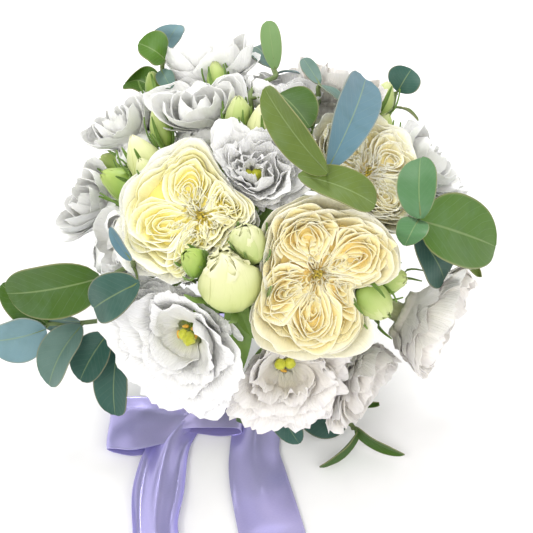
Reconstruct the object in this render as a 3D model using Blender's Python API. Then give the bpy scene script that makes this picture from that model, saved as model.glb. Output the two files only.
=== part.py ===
"""Bridal bouquet lying on a surface: garden roses, lisianthus, buds and eucalyptus, tied with satin ribbon.

Units are millimetres until a mesh is made. +Z is up, the surface is z = 0, and the flowers face -Y and up.
Each flower and leaf has its place in a chart of the bouquet's face: x to the right and v up, in
millimetres from the middle of the head, and a lift towards the viewer from the head's own surface.
The finished meshes are moved so that the world's origin is under the middle of the whole bouquet.
"""

import math

import bmesh
import bpy
import numpy as np

MM = 0.001
ORIGIN = np.array([-14.3, -18.4, 0.0])  # the finished bouquet's origin, below the middle of its box

# Pose of the bouquet on the surface
AXIS_RISE = math.radians(28)  # the stems' axis climbs this much from the cut ends to the flowers
FACE_RISE = math.radians(50)  # the direction that the chart is drawn from
MIDDLE = np.array([0.0, 0.0, 104.0])
HEAD_HALF = np.array([108.0, 95.0, 92.0])  # half sizes of the head across, upwards and along its axis
BIND_BACK = 84.0  # from the middle of the head back to the binding
END_BACK = 189.4  # and to the cut ends

# Stems
STEM_PITCH = 4.35
STEM_RADIUS = 1.9
BUD_STEM_RADIUS = 1.5
LEAF_STEM_RADIUS = 1.4
STEM_COUNT = 27
SPIRAL = math.radians(24)  # the handle's twist from the binding to the cut ends
FLARE = 1.16
FORK = 0.42  # how far along a lisianthus spray forks

# Ribbon
WRAP_BACKS = (86.0, 106.0, 130.0)
WRAP_THICK = 1.0
RIBBON_THICK = 0.8

# Clearances
GAP = 0.55  # each flower keeps this to the boundary it shares with a neighbour
SEAT = 0.35  # between petals and the green part that carries them
FLOOR = 0.6
LEAF_CLEAR = 1.9
STEM_CLEAR = 2.0

# Share of its radius that a flower claims against its neighbours
CLAIMS = {"rose": 1.0, "open": 0.96, "cup": 0.88, "bud": 1.15}

# Room that a flower has, measured from a star point on its axis
STAR = 0.55
ROOM_RINGS, ROOM_SPOKES, ROOM_REACH = 25, 48, 80.0

PETAL_THICK = 0.8
DISC = 1.8  # thickness of the disc that a whorl's petals grow from
DISC_PITCH = 2.3
LEAF_THICK = 0.8
STALK_HALF = 0.9

RIGHT = np.array([1.0, 0.0, 0.0])
UP = np.array([0.0, math.sin(FACE_RISE), math.cos(FACE_RISE)])
FACE = np.array([0.0, -math.cos(FACE_RISE), math.sin(FACE_RISE)])
SIDE = np.array([0.0, math.sin(AXIS_RISE), math.cos(AXIS_RISE)])
AXIS = np.array([0.0, -math.cos(AXIS_RISE), math.sin(AXIS_RISE)])
HEAD_AXES = np.array([RIGHT, SIDE, AXIS])

# Open and half-open flowers: x, v, lift, radius, depth, and how far the flower leans right and up
FLOWERS = {
    "rose_1": (-43, 17, 6, 48, 36, 0, 0),
    "rose_2": (32, -24, 8, 48, 36, 0, 0),
    "rose_3": (60, 38, 0, 38, 32, 0, 0),
    "open_1": (-51, -62, 6, 52, 40, -0.1, 0.15),
    "open_2": (14, -85, 6, 42, 40, 0, 0.35),
    "open_3": (66, -82, 2, 42, 38, 0.1, 0.35),
    "open_4": (102, -56, 2, 46, 42, 0.1, 0.1),
    "open_5": (-8, 43, 2, 40, 38, 0, 0.3),
    "cup_1": (-38, 84, 0, 31, 46, 0, 0.3),
    "cup_2": (-86, 72, 0, 23, 38, 0, 0.3),
    "cup_3": (-108, 26, 0, 25, 40, 0, 0.2),
    "cup_4": (-86, -4, -6, 22, 38, -0.3, 0.2),
    "cup_5": (-34, 110, -8, 26, 38, 0, 0.2),
    "cup_6": (47, 92, 0, 28, 38, 0, 0.2),
    "cup_7": (100, 46, 0, 24, 38, 0.1, 0.1),
    "cup_8": (114, 24, -8, 17, 32, 0.1, 0),
    "cup_9": (8, 88, -8, 23, 36, 0, 0.2),
    "cup_10": (-50, -25, -4, 15, 32, 0, 0.2),
}

# Green buds: x, v, lift, radius, length, lean right and up
BUDS = {
    "bud_1": (-21, -21, 20, 17.5, 30, 0, 0.5),
    "bud_2": (-10, 0, 16, 10, 22, 0, 0.6),
    "bud_3": (-42, -12, 17, 7.5, 17, -0.4, 0.6),
    "bud_4": (66, -42, 20, 9.5, 21, 0.4, -0.5),
    "bud_5": (77, -25, 8, 8, 19, 1.0, 0.3),
    "bud_6": (-75, 56, 6, 10.5, 30, -0.3, 1.2),
    "bud_7": (-70, 42, 4, 7.5, 21, -0.3, 0.9),
    "bud_8": (-92, 34, 4, 10, 28, -0.9, 0.3),
    "bud_9": (-95, 47, 0, 8, 20, -0.9, 0.5),
    "bud_10": (-15, 77, 8, 8, 22, 0, 0.7),
    "bud_11": (-2, 72, 5, 10, 25, -0.1, 0.9),
    "bud_12": (-63, 72, 2, 6, 22, 0, 0.8),
    "bud_13": (-29, 101, 12, 5.5, 17, 0, 0.4),
    "bud_14": (70, 70, 6, 8, 27, -0.1, 0.7),
    "bud_15": (72, 90, 0, 7, 20, 0.2, 0.8),
    "bud_16": (-66, 96, 0, 6, 17, 0, 0.6),
}

# Each lisianthus stem branches to these flowers and buds
SPRAYS = [
    ("open_1", "bud_1", "bud_3"),
    ("open_2", "bud_2"),
    ("open_3", "bud_4", "bud_5"),
    ("open_4",),
    ("open_5", "bud_11"),
    ("cup_1", "bud_10", "bud_12", "bud_13"),
    ("cup_2", "bud_6", "bud_9"),
    ("cup_3", "bud_8"),
    ("cup_4", "bud_7", "cup_10"),
    ("cup_5", "bud_16"),
    ("cup_6", "bud_15", "bud_14"),
    ("cup_7", "cup_8"),
    ("cup_9",),
]


# Eucalyptus sprigs: the stem's way from the bundle, and each leaf's base and tip (x, v, lift), width,
# roll in degrees, arch, and where along the blade it is widest
SPRIGS = {
    "left_upper": (
        [(-60, -30, -45), (-80, -34, -14), (-94, -27, 0)],
        [((-92, -23, 2), (-149, -32, 4), 34, 15, 5, 0.45)],
    ),
    "left_lower": (
        [(-70, -50, -46), (-92, -54, -24), (-108, -50, -16), (-130, -50, -16)],
        [
            ((-128, -53, -14), (-162, -60, -16), 31, 10, 3, 0.5),
            ((-128, -50, -14), (-154, -27, -12), 22, -62, 2, 0.45),
            ((-108, -49, -12), (-134, -41, -14), 24, 12, 2, 0.5),
            ((-107, -51, -8), (-126, -86, -12), 30, -12, 4, 0.55),
            ((-92, -56, -8), (-108, -83, -14), 24, 0, 3, 0.5),
            ((-86, -64, -14), (-88, -104, -24), 25, 8, 3, 0.55),
        ],
    ),
    "left_slip": (
        [(-66, -32, -34), (-70, -30, -2), (-73, -14, 10)],
        [((-73, -13, 11), (-85, 5, 14), 8, 20, 1, 0.5), ((-69, -25, 2), (-96, -40, -1), 26, -10, 3, 0.5)],
    ),
    "top_left": (
        [(-60, 62, -45), (-62, 84, -14), (-59, 102, 0)],
        [
            ((-58, 103, 2), (-73, 112, 6), 25, 10, 2, 0.5),
            ((-57, 104, -4), (-50, 124, -8), 23, 0, 2, 0.5),
            ((-60, 97, 0), (-54, 86, 8), 11, 0, 1, 0.5),
            ((-62, 82, -10), (-82, 90, -14), 24, 0, 3, 0.5),
        ],
    ),
    "top_middle": (
        [(6, 52, -40), (6, 74, -6), (6, 96, 4)],
        [
            ((6, 97, 5), (2, 125, 8), 12, 20, 1, 0.6),
            ((7, 95, 5), (20, 94, 8), 6, 30, 1, 0.5),
            ((4, 80, -4), (-10, 96, -12), 22, 0, 3, 0.5),
            ((8, 80, 2), (25, 60, 8), 26, 0, 3, 0.45),
        ],
    ),
    "top_right": (
        [(26, 56, -40), (26, 76, -6), (31, 86, 6)],
        [
            ((31, 87, 7), (22, 103, 10), 9, 25, 1, 0.5),
            ((31, 86, 7), (42, 76, 12), 10, 20, 1, 0.5),
        ],
    ),
    "middle": (
        [(24, 26, -40), (29, 29, 2), (34, 34, 14)],
        [
            ((34, 36, 15), (57, 90, 20), 26, -14, 5, 0.66),
            ((34, 34, 16), (0, 82, 22), 25, 58, 3, 0.5),
            ((18, 33, 13), (60, 17, 18), 23, 18, 5, 0.6),
        ],
    ),
    "right": (
        [(66, 4, -40), (80, 6, -6), (86, 9, 8)],
        [
            ((86, 9, 9), (133, -5, 6), 41, 0, 4, 0.38),
            ((86, 10, 9), (87, 44, 14), 24, 52, 3, 0.5),
            ((85, 9, 9), (77, -5, 16), 18, -40, 2, 0.5),
            ((84, 4, 3), (102, -24, 3), 28, 0, 3, 0.5),
            ((94, 2, -4), (128, -34, -8), 10, 0, 1, 0.5),
        ],
    ),
    "right_top": (
        [(62, 62, -40), (72, 78, -10), (76, 84, -4)],
        [
            ((77, 85, -3), (85, 98, -4), 20, 10, 2, 0.5),
            ((76, 76, -4), (89, 66, 0), 8, 20, 1, 0.5),
        ],
    ),
    "bottom_middle": (
        [(2, -64, -50), (4, -90, -26)],
        [((4, -92, -22), (20, -120, -14), 17, 10, 2, 0.45), ((2, -90, -22), (-14, -108, -14), 17, 0, 2, 0.5)],
    ),
    "bottom_right": (
        [(32, -62, -50), (46, -98, -30), (52, -112, -22)],
        [
            ((48, -112, -22), (21, -103, -24), 24, -20, 2, 0.5),
            ((55, -113, -20), (32, -134, -16), 17, 10, 2, 0.45),
            ((53, -111, -20), (82, -127, -18), 13, -10, 2, 0.4),
            ((46, -100, -28), (68, -104, -26), 8, 0, 1, 0.45),
        ],
    ),
}


def unit(v):
    v = np.asarray(v, float)
    return v / np.maximum(np.linalg.norm(v, axis=-1, keepdims=True), 1e-9)


def on_head(x, v, lift=0.0):
    """The point of the head's surface that the chart shows at x, v, lifted towards the viewer."""
    flat = x * RIGHT + v * UP
    a, b = HEAD_AXES @ FACE / HEAD_HALF, HEAD_AXES @ flat / HEAD_HALF
    root = max((a @ b) ** 2 - (a @ a) * (b @ b - 1), 0.0)
    return MIDDLE + flat + FACE * ((math.sqrt(root) - a @ b) / (a @ a) + lift)


def outward(point):
    """Direction straight out of the head at a point."""
    return unit(HEAD_AXES.T @ (HEAD_AXES @ (point - MIDDLE) / HEAD_HALF**2))


class Flower:
    """A flower or bud: where it sits, which way it looks and how much room it has."""

    def __init__(self, name, x, v, lift, radius, depth, lean_right, lean_up):
        self.name, self.radius, self.depth = name, radius, depth
        self.claim = radius * CLAIMS[name.split("_")[0]]
        top = on_head(x, v, lift)
        self.axis = unit(outward(top) + lean_right * RIGHT + lean_up * UP)
        self.base = top - depth * self.axis
        self.across = unit(RIGHT - (RIGHT @ self.axis) * self.axis)
        self.upward = np.cross(self.axis, self.across)
        self.star = self.base + STAR * depth * self.axis
        self.solids = SHAPES[name.split("_")[0]](self, float(name.split("_")[1]))
        self.reach = self.measure_reach()
        self.room = None

    def place(self, local):
        """Points from the flower's own frame, whose z is its axis, into the bouquet."""
        local = np.asarray(local, float)
        return self.base + local @ np.array([self.across, self.upward, self.axis])

    def measure_reach(self):
        """How far its own shape goes from the star point, on rings of directions about the axis."""
        away = np.concatenate([points for points, _ in self.solids]) - [0, 0, STAR * self.depth]
        far = np.linalg.norm(away, axis=1)
        ring = np.arccos(np.clip(away[:, 2] / far, -1, 1)) / math.pi * (ROOM_RINGS - 1)
        reach = np.full(ROOM_RINGS + 2, 3.0)
        for side in (np.floor(ring), np.ceil(ring)):
            np.maximum.at(reach, side.astype(int) + 1, far)
        return np.maximum(reach[1:-1], 0.5 * (reach[:-2] + reach[2:]))

    def towards(self, way):
        """Reach of the whole shape, and the free room, along directions from the star point."""
        ring = np.arccos(np.clip(way @ self.axis, -1, 1)) / math.pi * (ROOM_RINGS - 1)
        full = np.interp(ring, np.arange(ROOM_RINGS), self.reach)
        if self.room is None:
            return full, full
        spoke = np.arctan2(way @ self.upward, way @ self.across) / (2 * math.pi) * ROOM_SPOKES % ROOM_SPOKES
        i, j = np.minimum(ring.astype(int), ROOM_RINGS - 2), spoke.astype(int) % ROOM_SPOKES
        s, t, k = ring - i, spoke - np.floor(spoke), (j + 1) % ROOM_SPOKES
        near = (1 - t) * self.room[i, j] + t * self.room[i, k]
        return full, (1 - s) * near + s * ((1 - t) * self.room[i + 1, j] + t * self.room[i + 1, k])

    def distance(self, points):
        """Distance of points from the line between the flower's base and its top."""
        along = np.clip((points - self.base) @ self.axis, 0, self.depth)
        return np.linalg.norm(points - self.base - along[..., None] * self.axis, axis=-1)


def measure_room(flower, others, dots):
    """Free distance round the star point, on rings and spokes of directions about the axis."""
    polar = np.linspace(0, math.pi, ROOM_RINGS)[:, None]
    turn = np.linspace(0, 2 * math.pi, ROOM_SPOKES, endpoint=False)[None, :]
    ways = np.stack([np.sin(polar) * np.cos(turn), np.sin(polar) * np.sin(turn), np.cos(polar) + 0 * turn], -1)
    ways = ways @ np.array([flower.across, flower.upward, flower.axis])
    steps = np.arange(2.0, ROOM_REACH, 1.0)
    points = flower.star + ways[:, :, None, :] * steps[:, None]
    own = flower.distance(points) - flower.claim
    stopped = points[..., 2] < FLOOR
    for other in others:
        if np.linalg.norm(other.star - flower.star) < 2 * ROOM_REACH:
            stopped |= own + 2 * GAP > other.distance(points) - other.claim
    first = np.where(stopped.any(2), stopped.argmax(2), len(steps)) + 1.0
    near = dots[np.linalg.norm(dots[:, :3] - flower.star, axis=1) < ROOM_REACH]
    centre, radius = near[:, :3] - flower.star, near[:, 3] + STEM_CLEAR
    along = ways @ centre.T
    depth = radius**2 - (centre**2).sum(1) + along**2
    ahead = (along > 0) & (depth > 0)
    met = np.where(ahead, along - np.sqrt(np.where(ahead, depth, 0)), ROOM_REACH).min(2)
    free = np.maximum(np.minimum(first, met), 3.0)
    free[0], free[-1] = free[0].min(), free[-1].min()
    wide = np.min([np.roll(free, k, 1) for k in (-2, -1, 0, 1, 2)], axis=0)
    wide[1:-1] = np.minimum(wide[1:-1], 0.5 * (wide[1:-1] + np.minimum(wide[:-2], wide[2:])))
    room = (wide + 0.5 * (np.roll(wide, 1, 1) + np.roll(wide, -1, 1))) / 2
    room[-2:] = np.maximum(room[-2:], 1.1 * STAR * flower.depth)  # its foot stays on its stem
    flower.room = room


def press(flower, points):
    """Draws a flower's points towards its star point where its neighbours leave less room."""
    away = points - flower.star
    far = np.maximum(np.linalg.norm(away, axis=-1, keepdims=True), 1e-6)
    full, free = flower.towards(away / far)
    return flower.star + away * np.minimum(1, free / full)[..., None]


# Shapes: each returns (points, triangles)


def blade(mid, thick):
    """Thin closed solid round a grid of points, split into triangles alike on both faces."""
    rows, cols = mid.shape[:2]
    normal = unit(np.cross(np.gradient(mid, axis=0), np.gradient(mid, axis=1)))
    points = np.concatenate([(mid + normal * thick / 2).reshape(-1, 3), (mid - normal * thick / 2).reshape(-1, 3)])
    under = rows * cols
    at = np.arange(under).reshape(rows, cols)
    a, b, c, d = at[:-1, :-1].ravel(), at[1:, :-1].ravel(), at[1:, 1:].ravel(), at[:-1, 1:].ravel()
    top = np.concatenate([np.stack([a, b, c], 1), np.stack([a, c, d], 1)])
    rim = np.concatenate([at[:-1, 0], at[-1, :-1], at[:0:-1, -1], at[0, :0:-1]])
    after = np.roll(rim, -1)
    sides = np.concatenate([np.stack([after, rim, rim + under], 1), np.stack([after, rim + under, after + under], 1)])
    return points, np.concatenate([top, top[:, ::-1] + under, sides])


def tube(path, radii, sides):
    """Round rod along a path, with flat ends."""
    path = np.asarray(path, float)
    radii = np.broadcast_to(radii, len(path))
    along = unit(np.gradient(path, axis=0))
    side = np.cross(along[0], unit(along[0] + np.array([0.3, 0.5, 0.8])))
    rings = []
    for point, way, radius in zip(path, along, radii):
        side = unit(side - (side @ way) * way)
        other = np.cross(way, side)
        turn = np.arange(sides) * 2 * math.pi / sides
        rings.append(point + radius * (np.cos(turn)[:, None] * side + np.sin(turn)[:, None] * other))
    return ringed(rings, path[0], path[-1])


def ringed(rings, first, last):
    """Closed solid through rings of points, with a point at the middle of each end."""
    sides, count = len(rings[0]), len(rings)
    points = np.concatenate([*rings, [first, last]])
    faces = []
    for i in range(count - 1):
        for j in range(sides):
            k = (j + 1) % sides
            a, b, c, d = i * sides + j, i * sides + k, (i + 1) * sides + k, (i + 1) * sides + j
            faces += [(a, b, c), (a, c, d)]
    low, high = count * sides, count * sides + 1
    for j in range(sides):
        k = (j + 1) % sides
        faces += [(low, k, j), (high, (count - 1) * sides + j, (count - 1) * sides + k)]
    return points, np.array(faces)


def turned(profile, sides, ribs=0, rib_share=0.0, twist=0.0):
    """Solid turned about z from (radius, height) pairs, bottom first, whose ends lie on the axis."""
    turn = np.arange(sides) * 2 * math.pi / sides
    rings = []
    for radius, height in profile[1:-1]:
        swell = 1 + rib_share * np.cos(ribs * turn + twist * height)
        rings.append(np.stack([radius * swell * np.cos(turn), radius * swell * np.sin(turn), 0 * turn + height], 1))
    return ringed(rings, np.array([0, 0, profile[0][1]]), np.array([0, 0, profile[-1][1]]))


def bezier(controls, s):
    """Cubic curve through the first and last of four (radius, height) controls."""
    c = np.asarray(controls, float)
    s = s[..., None]
    return (1 - s) ** 3 * c[0] + 3 * s * (1 - s) ** 2 * c[1] + 3 * s**2 * (1 - s) * c[2] + s**3 * c[3]


def petal_grid(controls, azimuth, petals, most, rows, cols, frill, spiral):
    """Mid-surface of one petal of a whorl: beside its neighbours up to its first row, overlapping them further out.

    The frill repeats from petal to petal, so that the petals of one whorl wave together and never cross.
    """
    a = np.linspace(0, 1, rows)[:, None]
    b = np.linspace(-1, 1, cols)[None, :]
    s = a * (1 - 0.2 * np.abs(b) ** 2.5)
    profile = bezier(controls, s)
    ahead = np.minimum(s + 0.02, 1.0)
    slope = unit(bezier(controls, ahead) - bezier(controls, ahead - 0.02))
    grow = 0.96 + 1.2 * np.maximum(s - 0.81 / (rows - 1), 0)
    width = np.minimum(profile[..., 0] * math.pi / petals * grow, most)
    angle = azimuth + b * width / profile[..., 0]
    lift = frill * s**2 * np.cos(petals * (angle - azimuth)) + spiral * b * s
    radius = np.maximum(profile[..., 0] - slope[..., 1] * lift, 0.8)
    height = profile[..., 1] + slope[..., 0] * lift
    return np.stack([radius * np.cos(angle), radius * np.sin(angle), height], -1)


def fold_grid(middle, half, facing, low, top, count):
    """Standing fold of petals round a quarter of a rose, open towards the rose's middle."""
    level = np.array([[0.0], [0.55], [1.0]])
    angle = np.linspace(-1, 1, count)[None, :] * math.pi * (0.32 + 0.38 * level)
    shrink = 0.6 + 0.4 * level
    u = middle * (0.3 + 0.7 * level) + half[0] * shrink * np.cos(angle)
    w = half[1] * shrink * np.sin(angle)
    x, y = u * math.cos(facing) - w * math.sin(facing), u * math.sin(facing) + w * math.cos(facing)
    height = low + (top * (0.84 + 0.16 * np.hypot(x, y) / (middle + half[0])) - low) * level
    return np.stack([x, y, height], -1)


def whorl(grids, azimuths, root, low, high):
    """One closed solid of petals that grow out of the sides of a small flat disc."""
    petals = len(grids)
    corners = np.asarray(azimuths) - math.pi / petals
    ring = root * np.stack([np.cos(corners), np.sin(corners), 0 * corners], 1)
    points = [ring + [0, 0, high], ring + [0, 0, low], np.array([[0, 0, high], [0, 0, low]], float)]
    top_middle, low_middle, count = 2 * petals, 2 * petals + 1, 2 * petals + 2
    faces = []
    for p, grid in enumerate(grids):
        left, right = p, (p + 1) % petals
        normal = unit(np.cross(np.gradient(grid, axis=0), np.gradient(grid, axis=1)))[1:]
        upper, lower = grid[1:] + normal * PETAL_THICK / 2, grid[1:] - normal * PETAL_THICK / 2
        rows, cols = upper.shape[:2]
        points += [upper.reshape(-1, 3), lower.reshape(-1, 3)]
        at = count + np.arange(rows * cols).reshape(rows, cols)
        under = rows * cols
        count += 2 * under
        half = (cols - 1) // 2
        tops = [(left, at[0, j], at[0, j + 1]) for j in range(half)] + [(left, at[0, half], right)]
        tops += [(right, at[0, j], at[0, j + 1]) for j in range(half, cols - 1)]
        for i in range(rows - 1):
            for j in range(cols - 1):
                quad = at[i, j], at[i + 1, j], at[i + 1, j + 1], at[i, j + 1]
                tops += [(quad[0], quad[1], quad[2]), (quad[0], quad[2], quad[3])]

        def below(n):
            return n + petals if n < petals else n + under

        faces += tops + [(below(c), below(b), below(a)) for a, b, c in tops]
        rim = [left, *at[:, 0], *at[-1, 1:], *at[-2::-1, -1], right]
        for n, m in zip(rim, rim[1:]):
            faces += [(m, n, below(n)), (m, below(n), below(m))]
        faces += [(top_middle, left, right), (low_middle, right + petals, left + petals)]
    return np.concatenate(points), np.array(faces)


# Flowers


def whorls_of(rows_of_petals, start, root):
    """Whorls stacked on the flower's axis. Each is: count, profile, widest half width, rows, columns, frill, spiral."""
    solids = []
    for w, (count, controls, most, rows, cols, frill, spiral) in enumerate(rows_of_petals):
        low = SEAT + DISC_PITCH * w
        azimuths = [(p + 0.5 * w) * 2 * math.pi / count + start for p in range(count)]
        curve_of = ((root, low + DISC / 2), *controls)
        grids = [petal_grid(curve_of, azimuth, count, most, rows, cols, frill, spiral) for azimuth in azimuths]
        solids.append(whorl(grids, azimuths, root, low, low + DISC))
    return solids


def spindle(discs):
    """Slim core that holds a flower's discs together."""
    low, high = SEAT + DISC / 2, SEAT + DISC / 2 + DISC_PITCH * (discs - 1)
    return turned([(0, low), (2.0, low), (2.0, high), (0, high)], 3)


def rose_solids(flower, seed):
    """Garden rose: two whorls of guard petals round four quarters of folded petals."""
    r, h = flower.radius, flower.depth
    guards = [
        (5, ((0.80 * r, -0.05 * h), (0.80 * r, 0.72 * h), (1.03 * r, 0.92 * h)), 0.62 * r, 4, 4, 0.5, 2.6),
        (5, ((0.70 * r, 0.1 * h), (0.64 * r, 0.8 * h), (0.84 * r, 1.02 * h)), 0.50 * r, 3, 4, 0.3, 1.6),
    ]
    solids = whorls_of(guards, seed + 0.3, 6)
    quarters = [q * math.pi / 2 + seed for q in range(4)]
    for k, scale in enumerate((1.0, 0.5)):
        low = SEAT + DISC_PITCH * (2 + k)
        half = (0.25 * r * scale, 0.22 * r * scale)
        grids = [fold_grid(0.36 * r, half, q, low + DISC / 2, 0.98 * h, 5) for q in quarters]
        solids.append(whorl(grids, quarters, 5, low, low + DISC))
    return [spindle(4), *solids]


def open_solids(flower, seed):
    """Open lisianthus: three whorls of broad petals with waved edges."""
    r, h = flower.radius, flower.depth
    return [spindle(3), *whorls_of([
        (5, ((0.32 * r, 0.35 * h), (0.46 * r, 1.0 * h), (1.04 * r, 0.86 * h)), 0.62 * r, 4, 4, 2.0, 2.4),
        (4, ((0.24 * r, 0.5 * h), (0.30 * r, 1.05 * h), (0.74 * r, 1.04 * h)), 0.46 * r, 3, 4, 1.2, 2.0),
        (3, ((0.16 * r, 0.5 * h), (0.18 * r, 0.9 * h), (0.38 * r, 1.14 * h)), 0.26 * r, 3, 3, 0.2, 1.2),
    ], 1.1 + seed, 4.5)]


def cup_solids(flower, seed):
    """Half-open lisianthus: petals wound round a pointed heart, their edges turned out."""
    r, h = flower.radius, flower.depth
    low = SEAT + DISC / 2
    heart = turned([(0, low), (2.4, low), (0.34 * r, 0.4 * h), (0.26 * r, 0.74 * h), (0, 0.9 * h)], 4)
    return [heart, *whorls_of([
        (4, ((1.05 * r, 0.02 * h), (0.86 * r, 0.62 * h), (1.04 * r, 1.0 * h)), 0.84 * r, 3, 4, 0.8, 2.0),
        (3, ((0.72 * r, 0.12 * h), (0.60 * r, 0.7 * h), (0.58 * r, 1.06 * h)), 0.52 * r, 3, 3, 0.2, 1.6),
    ], seed, 4)]


def pistil_solid(flower):
    """Ovary and two-lobed stigma in an open flower's throat."""
    low, h = 2 * SEAT + 2 * DISC_PITCH + DISC, flower.depth
    return turned([(0, low), (1.6, low), (1.0, 0.4 * h), (2.7, 0.58 * h), (0, 0.64 * h)], 6, ribs=2, rib_share=0.2)


def stamen_solid(flower):
    """Tuft of stamens in the middle of a rose."""
    low, h = 2 * SEAT + 3 * DISC_PITCH + DISC, flower.depth
    return turned([(0, low), (1.2, low), (1.0, 0.6 * h), (3.2, 0.84 * h), (0, 0.74 * h)], 8, ribs=4, rib_share=0.3)


def bud_solids(flower, seed):
    """Closed bud with a star of narrow sepals at its base."""
    r, h = flower.radius, flower.depth
    sides = 8 if r > 12 else 6
    turn = np.arange(sides) * 2 * math.pi / sides + seed
    tips = np.where(np.arange(sides) % 2 == 0, 1, 0)
    rings = []
    for radius, height, out, rise in (
        (1.9, -1.5, 0, 0),
        (2.4, 0.0, 0.62 * r + 1.6, 0.04 * h),
        (0.7 * r, 0.12 * h, 0, 0),
        (0.98 * r, 0.36 * h, 0, 0),
        (0.7 * r, 0.7 * h, 0, 0),
    ):
        reach = radius + out * tips
        rings.append(np.stack([reach * np.cos(turn), reach * np.sin(turn), height + rise * tips], 1))
    return [ringed(rings, np.array([0, 0, -1.8]), np.array([0, 0, h]))]


SHAPES = {"rose": rose_solids, "open": open_solids, "cup": cup_solids, "bud": bud_solids}


def cup_of_sepals(flower):
    """Green base that an open flower sits on."""
    return turned([(0, -5), (2.3, -5), (3.4, -2), (0, 0)], 5)


# Branches


class Branch:
    """A stem or part of one: its path, thickness, plant, the flower that it carries and its held ends."""

    def __init__(self, path, radius, plant, flower=None, held_last=2):
        self.path, self.radius, self.plant, self.flower = path, radius, plant, flower
        self.held = np.zeros(len(path), bool)
        self.held[:2] = True
        self.held[len(path) - held_last:] = True

    def dots(self):
        """Points along it, with its radius, for others to keep clear of."""
        found = beads(self.path, self.radius)
        if self.flower:
            cup = [self.flower.base - back * self.flower.axis for back in (0.5, 3.0)]
            found = np.concatenate([found, np.column_stack([cup, [3.2, 2.8]])])
        return found


def bundle_slots(count):
    """Places of the stems in a tight round bundle, nearest the middle first."""
    spots = []
    for i in range(-5, 6):
        for j in range(-5, 6):
            spots.append((STEM_PITCH * (i + 0.5 * j), STEM_PITCH * math.sqrt(0.75) * j))
    spots.sort(key=lambda s: (round(math.hypot(*s), 3), round(math.atan2(s[1], s[0]), 3)))
    return np.array(spots[:count])


def at_station(slot, back):
    """Where a stem in this slot is, that far behind the middle of the head."""
    along = (back - BIND_BACK) / (END_BACK - BIND_BACK)
    grow = 1 + (FLARE - 1) * max(along, 0)
    turn = SPIRAL * along
    x = grow * (slot[0] * math.cos(turn) - slot[1] * math.sin(turn))
    y = grow * (slot[0] * math.sin(turn) + slot[1] * math.cos(turn))
    return MIDDLE - back * AXIS + x * RIGHT + y * SIDE


def curve(start, start_way, end, end_way, count):
    """Smooth path between two points with given directions."""
    reach = np.linalg.norm(end - start)
    t = np.linspace(0, 1, count)[:, None]
    h00, h10 = 2 * t**3 - 3 * t**2 + 1, t**3 - 2 * t**2 + t
    h01, h11 = -2 * t**3 + 3 * t**2, t**3 - t**2
    return h00 * start + h10 * reach * start_way + h01 * end + h11 * reach * end_way


def through(controls, count):
    """Smooth path through rows of numbers."""
    c = np.asarray(controls, float)
    c = np.concatenate([[2 * c[0] - c[1]], c, [2 * c[-1] - c[-2]]])
    t = np.linspace(0, len(c) - 3, count)
    i = np.minimum(t.astype(int), len(c) - 4)
    s = (t - i)[:, None]
    a, b, d, e = c[i], c[i + 1], c[i + 2], c[i + 3]
    return b + 0.5 * s * (d - a + s * (2 * a - 5 * b + 4 * d - e + s * (3 * (b - d) + e - a)))


def thinned(path, tolerance):
    """Fewer points of a path, none of the rest further than this from it."""
    if len(path) < 3:
        return path
    way = path[-1] - path[0]
    t = np.clip((path - path[0]) @ way / max(way @ way, 1e-9), 0, 1)
    off = np.linalg.norm(path - path[0] - t[:, None] * way, axis=1)
    worst = int(np.argmax(off))
    if off[worst] < tolerance:
        return path[[0, -1]]
    return np.concatenate([thinned(path[:worst + 1], tolerance)[:-1], thinned(path[worst:], tolerance)])


def choose_slots(targets):
    """Gives each stem the bundle slot that lies nearest its way out, so that stems don't cross."""
    slots = bundle_slots(len(targets))
    flat = np.array([[(t - MIDDLE) @ RIGHT, (t - MIDDLE) @ SIDE] for t in targets])
    wish = flat * (np.abs(slots).max() / np.abs(flat).max())
    free, chosen = set(range(len(slots))), {}
    for i in np.argsort(-np.hypot(*flat.T)):
        best = min(free, key=lambda s: float(np.sum((slots[s] - wish[i]) ** 2)))
        free.remove(best)
        chosen[int(i)] = slots[best]
    return [chosen[i] for i in range(len(targets))]


def spread(branches, flowers):
    """Moves stems apart, and out of the flowers, until none touches another plant's."""
    points = np.concatenate([b.path for b in branches])
    away_from_tie = np.linalg.norm(points - (MIDDLE - BIND_BACK * AXIS), axis=1)
    clear = np.minimum(STEM_CLEAR, 0.5 + 0.09 * away_from_tie)
    radius = np.concatenate([np.full(len(b.path), b.radius) for b in branches])
    plant = np.concatenate([np.full(len(b.path), b.plant) for b in branches])
    held = np.concatenate([b.held for b in branches])
    ends = np.cumsum([len(b.path) for b in branches])
    spans = [slice(e - len(b.path), e) for b, e in zip(branches, ends)]
    foreign = plant[:, None] != plant[None, :]
    reach = radius[:, None] + radius[None, :] + np.minimum(clear[:, None], clear[None, :])
    for _ in range(260):
        gap = points[:, None] - points[None, :]
        far = np.sqrt((gap**2).sum(-1)) + 1e-6
        short = np.where(foreign, np.maximum(reach - far, 0), 0)
        move = (gap / far[..., None] * short[..., None] * 0.35).sum(1)
        for flower in flowers:
            away = points - flower.star
            dist = np.linalg.norm(away, axis=1) + 1e-6
            depth = np.maximum(flower.towards(away / dist[:, None])[0] - dist, 0)
            for branch, span in zip(branches, spans):
                if branch.flower is flower:
                    depth[span] = 0
            sideways = away - (away @ flower.axis)[:, None] * flower.axis
            move += unit(sideways - 0.6 * flower.axis) * depth[:, None] * 0.25
        points = points + np.where(held[:, None], 0, np.clip(move, -1.5, 1.5))
        points[:, 2] = np.maximum(points[:, 2], FLOOR + radius)
        for span in spans:
            part = points[span].copy()
            part[1:-1] = 0.7 * part[1:-1] + 0.15 * (part[:-2] + part[2:])
            points[span] = np.where(held[span, None], points[span], part)
    for branch, span in zip(branches, spans):
        branch.path = points[span]


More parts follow.
